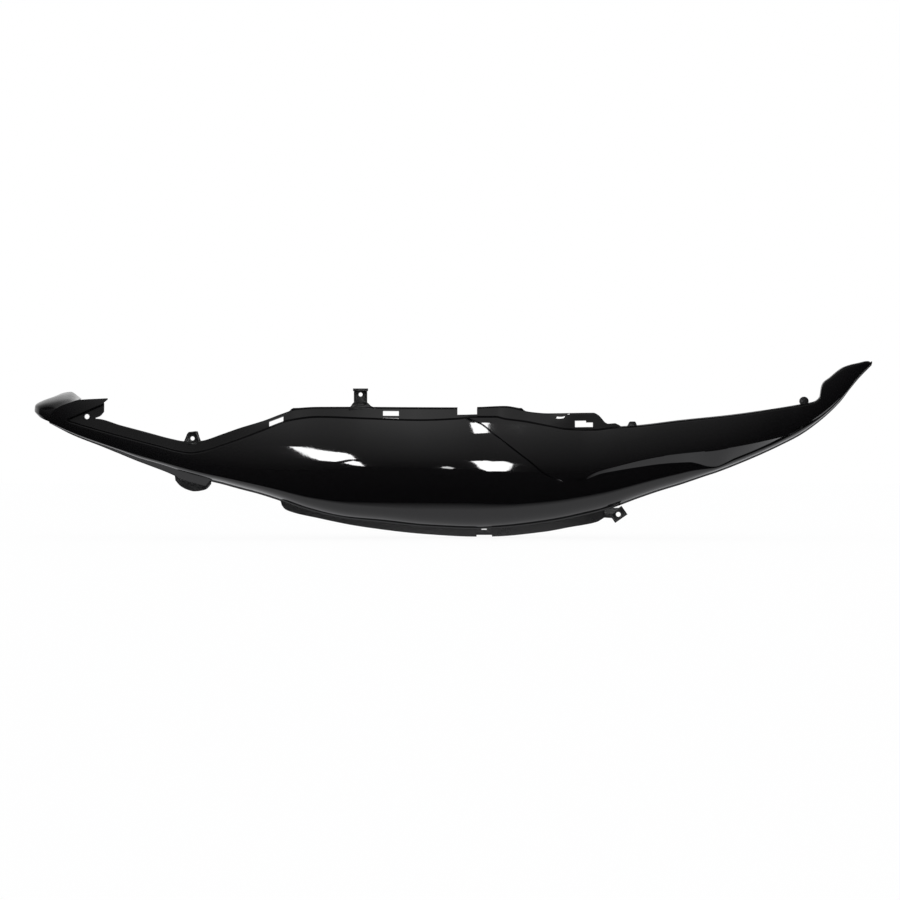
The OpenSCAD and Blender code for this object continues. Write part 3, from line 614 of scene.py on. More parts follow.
    def place(self, row: Row, x: np.ndarray) -> np.ndarray:
        """Points of one row at the given places.

        Args:
            row: Row of the grid.
            x: Places along the panel.

        Returns:
            Array of the points' x, y and z.
        """
        band, share, s = row.band, row.share, self.sizes
        if band is Band.HOOD:
            return self.hood(share, x)
        levels = self.levels(x)
        if band in (Band.CURL, Band.RAMP, Band.EDGE):
            foot = self.curl(1.0, x, levels[Level.CURL])
            drop = self.lines.return_drop.at(x)
            ramp = foot + np.array([np.minimum(drop * s.ramp_slope, s.ramp_reach), -drop])
            edge = np.array([ramp[0] + s.edge_set, self.low_edge(x, ramp[1])])
            if band is Band.CURL:
                y, z = self.curl(share, x, levels[Level.CURL])
            elif band is Band.RAMP:
                y, z = mix(foot, ramp, share)
            else:
                y, z = mix(ramp, edge, share)
        elif band in (Band.ROOT, Band.FILLET, Band.CORNER, Band.FACE):
            points = self.corner(x, levels)
            if band is Band.ROOT:
                y, z = mix(points["above"], points["fillet_start"], share)
            elif band is Band.FILLET:
                y, z = bezier([points["fillet_start"], points["root"], points["fillet_end"]], share)
            elif band is Band.CORNER:
                y, z = bezier([points["round_start"], points["face"], points["round_end"]], share)
            else:
                z = mix(points["round_end"][1], levels[Level.BELT], share)
                y = self.face_y(x, z)
        elif band is Band.RIM:
            free = self.free_rim(x)
            z = levels[Level.TOP] - free * share**2
            y = self.inset(x, z, LIP_SHARES[Level.TOP]) + free * (1 - share) ** 2
        else:
            upper, lower = BOUNDS[band]
            z = mix(levels[upper], levels[lower], share)
            if band is Band.TOP:
                z = mix(levels[upper] - self.free_rim(x), levels[lower], share)
            if band in (Band.EAR, Band.SHELF, Band.LOW):
                y = self.face_y(x, z)
            elif band is Band.FOLD:
                y = mix(self.face_y(x, z), self.inset(x, z, 1.0), share)
            else:
                y = self.inset(x, z, mix(LIP_SHARES.get(upper, 1.0), LIP_SHARES.get(lower, 1.0), share))
        return np.array([x, y, z])


@dataclass
class Seam:
    """The groove across the face, and how the grid's columns bend to follow it."""

    form: PanelForm
    start_u: float = 125.8
    depth: float = 1.25
    half_width: float = 1.05
    bend_reach: float = 260.0
    fade: float = 12.0
    roundness: float = 0.8
    least_slant: float = 0.33
    spread: float = 0.45
    halvings: int = 40
    offsets: tuple[float, ...] = (-1.9, -1.3, -1.05, -0.7, -0.35, 0.0, 0.35, 0.7, 1.05, 1.3, 1.9)

    @property
    def columns(self) -> np.ndarray:
        """Places of the groove's own columns where the grid isn't bent."""
        return self.start_u + np.array(self.offsets) / self.spread

    def crossing(self, row: Row) -> float | None:
        """Where the groove crosses a row, or None below its foot.

        Args:
            row: Row of the grid.

        Returns:
            The place of the crossing along the panel, or None.
        """
        low, high = self.form.lines.seam.knots[0][0], self.form.lines.seam.knots[-1][0]

        def over(x: float) -> float:
            """How far the groove runs above the row at a place."""
            return float(self.form.lines.seam.at(x) - self.form.place(row, np.array([x]))[2][0])

        if over(high) > 0:
            return None
        for _ in range(self.halvings):
            middle = (low + high) / 2
            low, high = (middle, high) if over(middle) > 0 else (low, middle)
        return high

    def slant(self, x: float) -> float:
        """Sine of the groove's slope at a place, which turns widths across it into widths along x."""
        rise = float(self.form.lines.seam.at(x + 1) - self.form.lines.seam.at(x - 1)) / 2
        return max(abs(rise) / math.hypot(1, rise), self.least_slant)

    def profile(self) -> np.ndarray:
        """Depth of the groove at each of its columns."""
        across = np.abs(np.array(self.offsets)) / self.half_width
        return self.depth * np.clip(1 - across, 0, 1) ** self.roundness


class ShellGrid:
    """Grid of the shell's outer surface, its inner side and which of its cells are there."""

    EVEN_STEP = 2.6
    FINE_STEP = 1.3
    TAIL_FINE_X = 545.0
    LEAST_GAP = 0.12
    NEAR = 0.65
    GROOVE_ROOM = 5.5
    EDGE_STEP = 0.6
    NOSE_STEPS = 6
    SLIT_SHARE = 0.62
    KNEES = (279.5, 285.5, 296.5, 305.5, 547.5, 552.5, 554.8, 556.6, 559.5, 614.5)

    def __init__(self, form: PanelForm) -> None:
        """Lay out the rows and columns and work out every point.

        Args:
            form: The surface that the grid follows.
        """
        self.form = form
        self.seam = Seam(form)
        self.rows = self.make_rows()
        self.columns = self.make_columns()
        self.outer, self.groove = self.make_outer()
        self.normals = self.make_normals()
        self.inner = self.outer - self.normals * self.walls()[:, None, None]
        self.inner[..., 0] = np.minimum(self.inner[..., 0], form.sizes.tail_x)
        self.outer -= self.normals * self.groove[..., None]

    @staticmethod
    def make_rows() -> list[Row]:
        """Rows of the grid, closest together at the edges and bends.

        Returns:
            The rows, from the far edge of the wrap to the lower edge.
        """
        shares: dict[Band, Sequence[float]] = {
            Band.HOOD: [*np.linspace(0, 0.94, 15), 0.975],
            Band.EAR: [0, 0.035, 0.1, 0.3, 0.5, 0.7, 0.9, 0.975],
            Band.FOLD: [0, 0.12, 0.5, 0.88],
            Band.POCKET: [0, 0.04, 0.2, 0.45, 0.7, 0.95],
            Band.HOOK: [0, 0.3, 0.7],
            Band.RIM: [0, 0.5],
            Band.TOP: [0, 0.25, 0.6],
            Band.SLOT: [0, 0.28, 0.64],
            Band.ROOT: [0, 0.3, ShellGrid.SLIT_SHARE, 0.92],
            Band.FILLET: [0, 0.33, 0.67, 1],
            Band.CORNER: [0, 0.17, 0.34, 0.5, 0.66, 0.83],
            Band.FACE: [0, 0.012, *np.linspace(0.045, 0.955, 22), 0.985],
            Band.SHELF: [0, 0.08, 0.3, 0.6, 0.92],
            Band.LOW: [0, 0.03, *np.linspace(0.12, 0.88, 8)],
            Band.CURL: [*np.linspace(0, 0.94, 14), 0.975],
            Band.RAMP: [0, 0.2, 0.8],
            Band.EDGE: [0, 0.1, 0.4, 0.75, 1],
        }
        return [Row(band, float(share)) for band in Band for share in shares[band]]

    def make_columns(self) -> np.ndarray:
        """Columns of the grid: every feature, the groove and an even spacing between them.

        Returns:
            Places along the panel, in rising order.
        """
        s, lines = self.form.sizes, self.form.lines
        crease = [knot[0] for knot in lines.nose_crease.knots[:-1]]
        fine = np.concatenate([
            np.linspace(a, b, self.NOSE_STEPS, endpoint=False) for a, b in zip(crease, crease[1:])
        ])
        exact = [
            s.nose_x, s.pocket_x, s.pocket_floor_x, s.hood_end, s.hook_root, s.fold_end, s.hook_end,
            s.ear_tip, s.slot_step_x, s.flange_end, s.lip_start, s.tail_squeeze, s.tail_x, *self.KNEES,
        ]
        for slot in (*s.slots, s.upper_notch, s.lower_notch):
            exact += slot.ends
        for edge in (lines.front_tab, lines.lower_flange):
            ends = [knot[0] for knot in edge.knots]
            exact += [ends[0] - self.EDGE_STEP, *ends[:3], *ends[-3:], ends[-1] + self.EDGE_STEP]
        kept = np.array([x for x in exact if abs(x - self.seam.start_u) > self.GROOVE_ROOM])
        groove = self.seam.columns
        even = np.concatenate([
            np.arange(s.pocket_x, s.ear_tip, self.FINE_STEP),
            np.arange(s.ear_tip, self.TAIL_FINE_X, self.EVEN_STEP),
            np.arange(self.TAIL_FINE_X, s.tail_x - 1, self.FINE_STEP),
        ])
        others = np.concatenate([kept, fine])
        near = np.abs(even[:, None] - others[None, :]).min(axis=1)
        off_groove = (even < groove[0] - 1) | (even > groove[-1] + 1)
        even = even[(near > self.NEAR) & off_groove]
        columns = np.sort(np.concatenate([others, groove, even]))
        return columns[np.concatenate([[True], np.diff(columns) > self.LEAST_GAP * 0.5])]

    def make_outer(self) -> tuple[np.ndarray, np.ndarray]:
        """Points of the outer surface, and how deep the groove is at each.

        Returns:
            The points by row and column, and the groove's depth at each.
        """
        count = len(self.rows)
        u = self.columns
        starts = self.seam.columns
        mine = np.array([np.abs(u - start).argmin() for start in starts])
        points = np.zeros((count, len(u), 3))
        depths = np.zeros((count, len(u)))
        first = next(i for i, row in enumerate(self.rows) if row.band is Band.CORNER)
        curl = next(i for i, row in enumerate(self.rows) if row.band is Band.CURL)
        last_bend, last_row = 0.0, first
        for i, row in enumerate(self.rows):
            x = u.copy()
            if first <= i < curl:
                cross = self.seam.crossing(row)
                if cross is None:
                    bend = last_bend * (1 - eased((i - last_row) / (curl - last_row)))
                else:
                    bend = last_bend = cross - self.seam.start_u
                    last_row = i
                reach = np.clip(np.abs(u - self.seam.start_u) / self.seam.bend_reach, 0, 1)
                x = u + bend * (1 - reach**2) ** 2
                if cross is not None:
                    x[mine] = cross + np.array(self.seam.offsets) / self.seam.slant(cross)
                    end = self.form.lines.seam.knots[-1][0]
                    start = 1.0 if row.band is not Band.CORNER else row.share
                    depths[i, mine] = self.seam.profile() * start * min((end - cross) / self.seam.fade, 1.0)
            points[i] = self.form.place(row, x).T
        return points, depths

    def make_normals(self) -> np.ndarray:
        """Outward normals of the outer surface.

        Returns:
            A unit vector for each point of the outer surface.
        """
        down = np.gradient(self.outer, axis=0)
        along = np.gradient(self.outer, axis=1)
        normals = np.cross(down, along)
        length = np.linalg.norm(normals, axis=2, keepdims=True)
        flat = length[..., 0] < 1e-9
        normals = normals / np.maximum(length, 1e-9)
        normals[flat] = (0, -1, 0)
        return normals

    def walls(self) -> np.ndarray:
        """Thickness of the wall at each row, thinner where the nose folds tightly."""
        thin = {Band.EAR: 1.6, Band.FOLD: 1.4, Band.POCKET: 1.6, Band.HOOK: 2.0}
        return np.array([thin.get(row.band, self.form.sizes.wall) for row in self.rows])

    def present(self) -> np.ndarray:
        """Which cells of the grid are there.

        Returns:
            A truth value for each cell, by row and column.
        """
        s = self.form.sizes
        middle = (self.columns[:-1] + self.columns[1:]) / 2
        ends = {
            Band.HOOD: s.hood_end, Band.EAR: s.ear_tip, Band.FOLD: s.fold_end, Band.POCKET: s.hook_end,
            Band.HOOK: s.hook_root,
        }
        there = np.ones((len(self.rows) - 1, len(middle)), bool)
        for i, row in enumerate(self.rows[:-1]):
            if row.band in ends:
                there[i] &= middle < ends[row.band]
            if row.band is Band.SLOT:
                for slot in s.slots:
                    step = (slot is s.rear_slot) & (row.share == 0) & (middle > s.slot_step_x)
                    there[i] &= ~slot.holds(middle) | step
            if row.band in (Band.RIM, Band.TOP, Band.SLOT):
                there[i] &= ~s.upper_notch.holds(middle)
            if row.band is Band.ROOT and row.share == self.SLIT_SHARE:
                there[i] &= ~s.middle_slot.holds(middle)
            if row.band is Band.EDGE:
                there[i] &= ~s.lower_notch.holds(middle)
        return there


def remake(obj: bpy.types.Object) -> bpy.types.Object:
    """Apply every modifier of an object by making its evaluated mesh its own.

    Args:
        obj: Object with modifiers.

    Returns:
        The same object, with a plain mesh.
    """
    graph = bpy.context.evaluated_depsgraph_get()
    graph.update()
    mesh = bpy.data.meshes.new_from_object(obj.evaluated_get(graph), depsgraph=graph)
    obj.modifiers.clear()
    obj.data = mesh
    return obj


def soften(obj: bpy.types.Object, angle: float = 32.0) -> None:
    """Shade an object smooth, with its edges sharp over the given angle in degrees."""
    obj.data.shade_smooth()
    obj.data.set_sharp_from_angle(angle=math.radians(angle))


def link(name: str, mesh: bpy.types.Mesh) -> bpy.types.Object:
    """Put a mesh into the scene under a name.

    Args:
        name: Name of the object.
        mesh: Its mesh.

    Returns:
        The object, linked to the scene.
    """
    obj = bpy.data.objects.new(name, mesh)
    bpy.context.scene.collection.objects.link(obj)
    return obj


class NodeMaker:
    """Short way to write a material's or the world's nodes."""

    def __init__(self, tree: bpy.types.NodeTree) -> None:
        """Start from an empty tree."""
        self.tree = tree
        tree.nodes.clear()

    def add(
        self, kind: str, inputs: dict[str | int, object] | None = None, **values: object
    ) -> bpy.types.Node:
        """Add a node, set its properties and fill or link its sockets.

        Args:
            kind: Blender's name of the node type, after ShaderNode.
            inputs: Socket name or index to a value or an output socket.
            values: Properties of the node.

        Returns:
            The node.
        """
        node = self.tree.nodes.new("ShaderNode" + kind)
        for name, value in values.items():
            setattr(node, name, value)
        for key, value in (inputs or {}).items():
            if isinstance(value, bpy.types.NodeSocket):
                self.tree.links.new(value, node.inputs[key])
            else:
                node.inputs[key].default_value = value
        return node

    def ramp(
        self, factor: bpy.types.NodeSocket, stops: Sequence[tuple[float, Colour]]
    ) -> bpy.types.NodeSocket:
        """Colour ramp over a factor.

        Args:
            factor: Socket that drives it.
            stops: Places and colours.

        Returns:
            Its colour socket.
        """
        node = self.add("ValToRGB", {"Fac": factor})
        ramp = node.color_ramp
        while len(ramp.elements) < len(stops):
            ramp.elements.new(1.0)
        for element, (place, colour) in zip(ramp.elements, stops):
            element.position = place
            element.color = (*colour, 1.0)
        return node.outputs["Color"]


def blank_material(name: str) -> tuple[bpy.types.Material, NodeMaker]:
    """New material, and the maker of its nodes.

    Args:
        name: Name of the material.

    Returns:
        The material and the maker of its nodes.
    """
    material = bpy.data.materials.new(name)
    material.use_nodes = True
    return material, NodeMaker(material.node_tree)


def grey(value: float) -> Colour:
    """Neutral colour of one value."""
    return value, value, value


@dataclass(frozen=True)
class MouldedBlack:
    """Black plastic: a dark base with a fine flake, a clear top and a slight unevenness."""

    name: str
    base: Colour
    flake: Colour
    roughness: float
    specular: float
    coat: float
    coat_roughness: float
    flake_scale: float
    peel_scale: float
    peel_height: float
    scuff: float = 0.0
    scuff_scale: float = 38.0
    flake_size: float = 0.16

    def make(self) -> bpy.types.Material:
        """Make the material.

        Returns:
            The material, with its nodes.
        """
        material, nodes = blank_material(self.name)
        place = nodes.add("TexCoord").outputs["Object"]
        flakes = nodes.add("TexVoronoi", {"Vector": place, "Scale": self.flake_scale})
        stops = [(0.0, self.flake), (self.flake_size, self.base), (1.0, self.base)]
        colour = nodes.ramp(flakes.outputs["Distance"], stops)
        peel = nodes.add("TexNoise", {"Vector": place, "Scale": self.peel_scale, "Detail": 2.0})
        bump = nodes.add("Bump", {
            "Height": peel.outputs["Fac"], "Distance": self.peel_height * MM, "Strength": 1.0,
        })
        shader = nodes.add("BsdfPrincipled", {
            "Base Color": colour, "Roughness": self.roughness, "Specular IOR Level": self.specular,
            "Coat Weight": self.coat, "Coat Roughness": self.coat_roughness, "Coat IOR": 1.5,
            "Normal": bump.outputs["Normal"], "Coat Normal": bump.outputs["Normal"],
        })
        if self.scuff:
            cloud = nodes.add("TexNoise", {"Vector": place, "Scale": self.scuff_scale, "Detail": 5.0})
            wear = nodes.add("MapRange", {
                "Value": cloud.outputs["Fac"], "From Min": 0.35, "From Max": 0.7,
                "To Min": self.roughness - self.scuff, "To Max": self.roughness + self.scuff,
            })
            nodes.tree.links.new(wear.outputs["Result"], shader.inputs["Roughness"])
        nodes.add("OutputMaterial", {"Surface": shader.outputs["BSDF"]})
        return material


class Finishes:
    """The three finishes that the moulding shows."""

    def __init__(self) -> None:
        """Make the materials once, for every piece to share."""
        self.gloss = MouldedBlack(
            name="gloss_black", base=(0.0016, 0.0014, 0.0018), flake=(0.02, 0.018, 0.024), roughness=0.5,
            specular=0.04, coat=1.0, coat_roughness=0.025, flake_scale=1500.0, peel_scale=210.0,
            peel_height=0.004,
        ).make()
        self.moulded = MouldedBlack(
            name="moulded_black", base=(0.006, 0.006, 0.0068), flake=(0.012, 0.012, 0.014), roughness=0.32,
            specular=0.3, coat=0.0, coat_roughness=0.2, flake_scale=900.0, peel_scale=420.0,
            peel_height=0.02, scuff=0.05,
        ).make()
        self.inner = MouldedBlack(
            name="inner_black", base=(0.011, 0.011, 0.012), flake=(0.016, 0.016, 0.018), roughness=0.48,
            specular=0.5, coat=0.0, coat_roughness=0.3, flake_scale=700.0, peel_scale=300.0,
            peel_height=0.05, scuff=0.08,
        ).make()


class Shell:
    """The shell: face, flanges, under-curl and the wrap of the nose as one closed mesh."""

    def __init__(self, form: PanelForm, finishes: Finishes, drill: "Prism") -> None:
        """Keep the form, the finishes and the drill for the screw bore.

        Args:
            form: Form of the panel.
            finishes: Finishes of its sides.
            drill: Solid that cuts the screw bore.
        """
        self.grid = ShellGrid(form)
        self.finishes = finishes
        self.drill = drill

    def faces(self) -> tuple[np.ndarray, np.ndarray]:
        """Quads of both sides and of every rim, and the finish of each.

        Returns:
            Corner numbers, one row a quad, and finish numbers.
        """
        rows, columns = len(self.grid.rows), len(self.grid.columns)
        there = self.grid.present()
        index = np.arange(rows * columns).reshape(rows, columns)
        a, b, c, d = index[:-1, :-1], index[:-1, 1:], index[1:, 1:], index[1:, :-1]
        inner = rows * columns
        satin = np.array([row.band is Band.EDGE for row in self.grid.rows[:-1]])
        finish = np.where(satin, 1, 0)[:, None] * np.ones_like(a)
        quads = [np.stack([a, b, c, d], -1)[there]]
        marks = [finish[there]]
        quads.append(np.stack([d, c, b, a], -1)[there] + inner)
        marks.append(np.full(there.sum(), 2))
        padded = np.pad(there, 1)
        sides = (
            (padded[:-2, 1:-1], a, b), (padded[1:-1, 2:], b, c), (padded[2:, 1:-1], c, d),
            (padded[1:-1, :-2], d, a),
        )
        for neighbour, start, end in sides:
            open_side = there & ~neighbour
            rim = np.stack([end, start, start + inner, end + inner], -1)[open_side]
            quads.append(rim)
            marks.append(np.full(len(rim), 1))
        return np.concatenate(quads), np.concatenate(marks)

    def build(self) -> bpy.types.Object:
        """Make the shell.

        Returns:
            The object.
        """
        quads, marks = self.faces()
        points = np.concatenate([self.grid.outer.reshape(-1, 3), self.grid.inner.reshape(-1, 3)]) * MM
        used = np.unique(quads)
        renumber = np.zeros(len(points), int)
        renumber[used] = np.arange(len(used))
        mesh = bpy.data.meshes.new("shell")
        mesh.from_pydata(points[used].tolist(), [], renumber[quads].tolist())
        for material in (self.finishes.gloss, self.finishes.moulded, self.finishes.inner):
            mesh.materials.append(material)
        mesh.polygons.foreach_set("material_index", marks.astype(np.int32))
        shape = bmesh.new()
        shape.from_mesh(mesh)
        bmesh.ops.remove_doubles(shape, verts=shape.verts, dist=0.01 * MM)
        bmesh.ops.dissolve_degenerate(shape, edges=shape.edges, dist=0.004 * MM)
        shape.to_mesh(mesh)
        shape.free()
        obj = link("shell", mesh)
        drill = link("drill", self.drill.mesh())
        change = obj.modifiers.new("bore", "BOOLEAN")
        change.operation, change.object, change.solver = "DIFFERENCE", drill, "EXACT"
        remake(obj)
        bpy.data.objects.remove(drill)
        soften(obj, 38.0)
        return obj


@dataclass(frozen=True)
class Prism:
    """A flat outline in x and z, given thickness along y."""

    outline: tuple[Point, ...]
    front: float
    back: float

    def mesh(self) -> bpy.types.Mesh:
        """Make the closed mesh.

        Returns:
            The mesh, in metres.
        """
        shape = bmesh.new()
        ring = [shape.verts.new((x * MM, self.front * MM, z * MM)) for x, z in self.outline]
        face = shape.faces.new(ring)
        moved = bmesh.ops.extrude_face_region(shape, geom=[face])["geom"]
        shift = Vector((0, (self.back - self.front) * MM, 0))
        bmesh.ops.translate(shape, verts=[v for v in moved if isinstance(v, bmesh.types.BMVert)], vec=shift)
        bmesh.ops.recalc_face_normals(shape, faces=shape.faces)
        mesh = bpy.data.meshes.new("prism")
        shape.to_mesh(mesh)
        shape.free()
        return mesh


def circle(x: float, z: float, diameter: float, count: int = 48) -> tuple[Point, ...]:
    """Outline of a round bar or bore about a point."""
    turns = [2 * math.pi * k / count for k in range(count)]
    return tuple((x + diameter / 2 * math.cos(t), z + diameter / 2 * math.sin(t)) for t in turns)


def box_outline(low: Point, high: Point) -> tuple[Point, ...]:
    """Outline of an upright rectangle between two corners."""
    return (low, (high[0], low[1]), high, (low[0], high[1]))


def turned(outline: Sequence[Point], centre: Point, angle: float) -> tuple[Point, ...]:
    """Outline turned about a point by an angle in degrees, after being moved there.

    Args:
        outline: Points about the origin.
        centre: Where the origin goes.
        angle: Turn, anticlockwise as seen from the outer side.

    Returns:
        The turned outline.
    """
    c, s = math.cos(math.radians(angle)), math.sin(math.radians(angle))
    return tuple((centre[0] + x * c - z * s, centre[1] + x * s + z * c) for x, z in outline)


def carve(
    name: str, adds: Sequence[Prism], cuts: Sequence[Prism], softness: float, finish: bpy.types.Material
) -> bpy.types.Object:
    """Join prisms, cut others away and soften the edges.

    Args:
        name: Name of the object.
        adds: Prisms that are joined.
        cuts: Prisms that are cut away.
        softness: Radius of the softened edges, in millimetres.
        finish: Material of the piece.

    Returns:
        The object.
    """
    obj = link(name, adds[0].mesh())
    helpers = []
    for prism, operation in [(p, "UNION") for p in adds[1:]] + [(p, "DIFFERENCE") for p in cuts]:
        helper = link(name + "_helper", prism.mesh())
        helpers.append(helper)
        change = obj.modifiers.new("shape", "BOOLEAN")
        change.operation, change.object, change.solver = operation, helper, "EXACT"
    bevel = obj.modifiers.new("edges", "BEVEL")
    bevel.width, bevel.segments, bevel.limit_method = softness * MM, 3, "ANGLE"
    bevel.angle_limit = math.radians(28)
    remake(obj)
    for helper in helpers:
        bpy.data.objects.remove(helper)
    obj.data.materials.clear()
    obj.data.materials.append(finish)
    soften(obj, 40.0)
    return obj


@dataclass
class UpperLug:
    """Tray round the upper bore, on a flared foot that stands on the upper flange."""

    form: PanelForm
    finish: bpy.types.Material
    bore: float = 4.8
    width: float = 18.0
    neck_width: float = 16.0
    depth: float = 4.0
    head: float = 7.2
    side: float = 1.8
    bar: float = 3.0
    rise: float = 0.6
    neck: float = 5.0
    shelf: float = 2.5
    foot_set: float = 0.9
    ring: float = 3.4
    ring_rise: float = 0.9

    def build(self) -> bpy.types.Object:
        """Make the lug.

        Returns:
            The lug's object.
        """
        wall, half, waist = self.form.sizes.wall, self.width / 2, self.neck_width / 2
        rim, floor = -self.depth - self.rise, float(self.form.lines.flange_top.at(0.0))
        tray, inner = floor + self.neck, self.width / 2 - self.side
        body = (
            (-waist, tray), (waist, tray), (waist, self.head - self.bar), (half, self.head - self.bar),
            (half, self.head), (-half, self.head), (-half, self.head - self.bar),
            (-waist, self.head - self.bar),
        )
        foot = (
            (-half - 5, floor - 3.5), (half + 10.5, floor - 3.5), (half + 10.5, floor - 0.2),
            (half + 6.5, floor + 0.8), (half + 3.2, floor + 2.4), (half + 0.8, tray), (waist, tray + 1.5),
            (-waist, tray + 1.5), (-half - 0.6, tray), (-half - 2.4, floor + 2.2), (-half - 5, floor - 0.2),
        )
        hollow = box_outline((-inner + 1, tray + self.shelf), (inner - 1, self.head - self.bar))
        lower_hollow = box_outline((-4.6, tray - 2.2), (4.6, tray + self.shelf - 1.2))
        return carve("upper_lug", [
            Prism(body, rim, wall), Prism(foot, rim + self.foot_set, rim + self.foot_set + wall),
            Prism(circle(0, 0, self.bore + self.ring), -self.ring_rise, wall),
        ], [
            Prism(hollow, rim - 1, 0.0), Prism(lower_hollow, rim - 1, rim + 2.4),
            Prism(circle(0, 0, self.bore), -3, wall + 1),
        ], 0.35, self.finish)


@dataclass
class FrontEar:
    """Ear over the dip of the upper flange, with a raised rim and a ledge at its foot."""

    form: PanelForm
    finish: bpy.types.Material
    x: float = -201.5
    bore: float = 5.0
    width: float = 21.0
    head: float = 8.7
    rim: float = 1.6
    frame: float = 3.6

    def build(self) -> bpy.types.Object:
        """Make the ear.

        Returns:
            The ear's object.
        """
        z = float(self.form.lines.flange_top.at(self.x)) + 4.0
        y = float(self.form.flange_y(np.array(self.x), np.array(z))) + 1.2
        wall, half, x = self.form.sizes.wall, self.width / 2, self.x
        plate = (
            (x - half, z - 8), (x + half, z - 8), (x + half, z - 4), (x + half - 2.2, z + 1.5),
            (x + half - 4.2, z + self.head - 0.3), (x + half - 6.7, z + self.head), (x - half + 6, z + 7.7),
            (x - half + 4.2, z + 5.7), (x - half, z - 4.5),
        )
        inner = half - self.frame
        hollow = (
            (x - inner, z - 3.2), (x + inner, z - 3.2), (x + inner - 2, z + 3.5),
            (x + inner - 3.6, z + self.head - 1.8), (x - inner + 4, z + 6.3), (x - inner + 2.5, z + 4.9),
        )
        ledge = box_outline((x - 5.4, z - 7.4), (x + 5.4, z - 5.2))
        return carve("front_ear", [
            Prism(plate, y - self.rim, y + wall), Prism(ledge, y - self.rim - 1.1, y),
        ], [
            Prism(hollow, y - self.rim - 2, y), Prism(circle(x, z, self.bore), y - 3, y + wall + 1),
        ], 0.4, self.finish)


@dataclass
class NoseScrew:
    """Raised ring round the screw bore in the pocket, and its boss behind."""

    form: PanelForm
    finish: bpy.types.Material
    x: float = -329.0
    z: float = -26.5
    bore: float = 6.0
    boss: float = 11.0
    rise: float = 2.0

    @property
    def front(self) -> float:
        """Depth of the pocket's floor at the bore."""
        return float(self.form.flange_y(np.array(self.x), np.array(self.z)))

    @property
    def drill(self) -> Prism:
        """Bar that cuts the bore through the pocket's floor."""
        return Prism(circle(self.x, self.z, self.bore + 0.8), self.front - 4, self.front + 8)

    def build(self) -> bpy.types.Object:
        """Make the ring and boss.

        Returns:
            The object of the ring and boss.
        """
        y, wall = self.front, self.form.sizes.wall
        return carve("nose_screw_boss", [
            Prism(circle(self.x, self.z, self.boss), y + wall / 2, y + wall + self.rise),
            Prism(circle(self.x, self.z, self.bore + 3.2), y - 0.9, y + wall),
        ], [
            Prism(circle(self.x, self.z, self.bore), y - 4, y + wall + self.rise + 3),
        ], 0.3, self.finish)


@dataclass
class LowerTab:
    """Sloping tray with a bore at the rear end of the lower flange."""

    form: PanelForm
    finish: bpy.types.Material
    x: float = 310.0
    z: float = -144.1
    bore: float = 5.8
    length: float = 18.0
    width: float = 12.5
    angle: float = 35.0
    rim: float = 1.5
    frame: float = 2.0

    def build(self) -> bpy.types.Object:
        """Make the tab.

        Returns:
            The tab's object.
        """
        wall = self.form.sizes.wall
        y = self.form.flange_foot_y(288.0) + 0.7
        end = self.form.lines.lower_flange.knots[-1]
        half, side = self.length / 2, self.width / 2
        tray = turned(box_outline((-half, -side), (half, side)), (self.x, self.z), self.angle)
        hollow = turned(
            box_outline((-half + self.frame, -side + self.frame), (half - self.frame, side - self.frame)),
            (self.x, self.z), self.angle,
        )
        bridge = (
            (end[0] - 10, end[1] - 3.5), end, (self.x - 8, self.z - 4.5), (self.x, self.z + 8),
            (end[0] + 5, self.z + 8), (end[0] - 10, end[1] + 9),
        )
        return carve("lower_tab", [
            Prism(tray, y, y + self.rim + wall), Prism(bridge, y + 0.2, y + wall),
        ], [
            Prism(hollow, y - 1, y + self.rim), Prism(circle(self.x, self.z, self.bore), y - 1, y + 6),
        ], 0.35, self.finish)


@dataclass
class TailPeg:
    """Locating peg on the top edge of the tail, with a collar."""

    form: PanelForm
    finish: bpy.types.Material
    x: float = 535.0
    diameter: float = 8.0
    length: float = 12.0
    collar: float = 11.0
    thickness: float = 7.5
    rise: float = 3.6
    seat: float = 1.0
    lap: float = 0.5

    def build(self) -> bpy.types.Object:
        """Make the peg.

        Returns:
            The peg's object.
        """
        top = float(self.form.lines.face_top.at(self.x))
        z = top + self.rise
        y = float(self.form.face_y(np.array(self.x), np.array(top))) + self.seat
        shoulder = y + self.thickness
        return carve("tail_peg", [
            Prism(circle(self.x, z, self.collar), y, shoulder),
            Prism(circle(self.x, z, self.diameter), shoulder - self.lap, shoulder + self.length),
        ], [], 0.7, self.finish)


@dataclass
class RearStop:
    """Short stop on the top edge behind the upper flange."""

    form: PanelForm
    finish: bpy.types.Material
    x: float = 326.0

    def build(self) -> bpy.types.Object:
        """Make the stop.

        Returns:
            The stop's object.
        """
        z = float(self.form.lines.face_top.at(self.x))
        y = float(self.form.face_y(np.array(self.x), np.array(z))) + 1.2
        outline = ((-6.2, -3), (6, -3), (6, 0), (4, 4.8), (3.2, 5.6), (-2.8, 5.6), (-3.9, 4.6), (-6.2, 0))
        return carve("rear_stop", [
            Prism(tuple((self.x + a, z + b) for a, b in outline), y, y + self.form.sizes.wall),
        ], [], 0.6, self.finish)


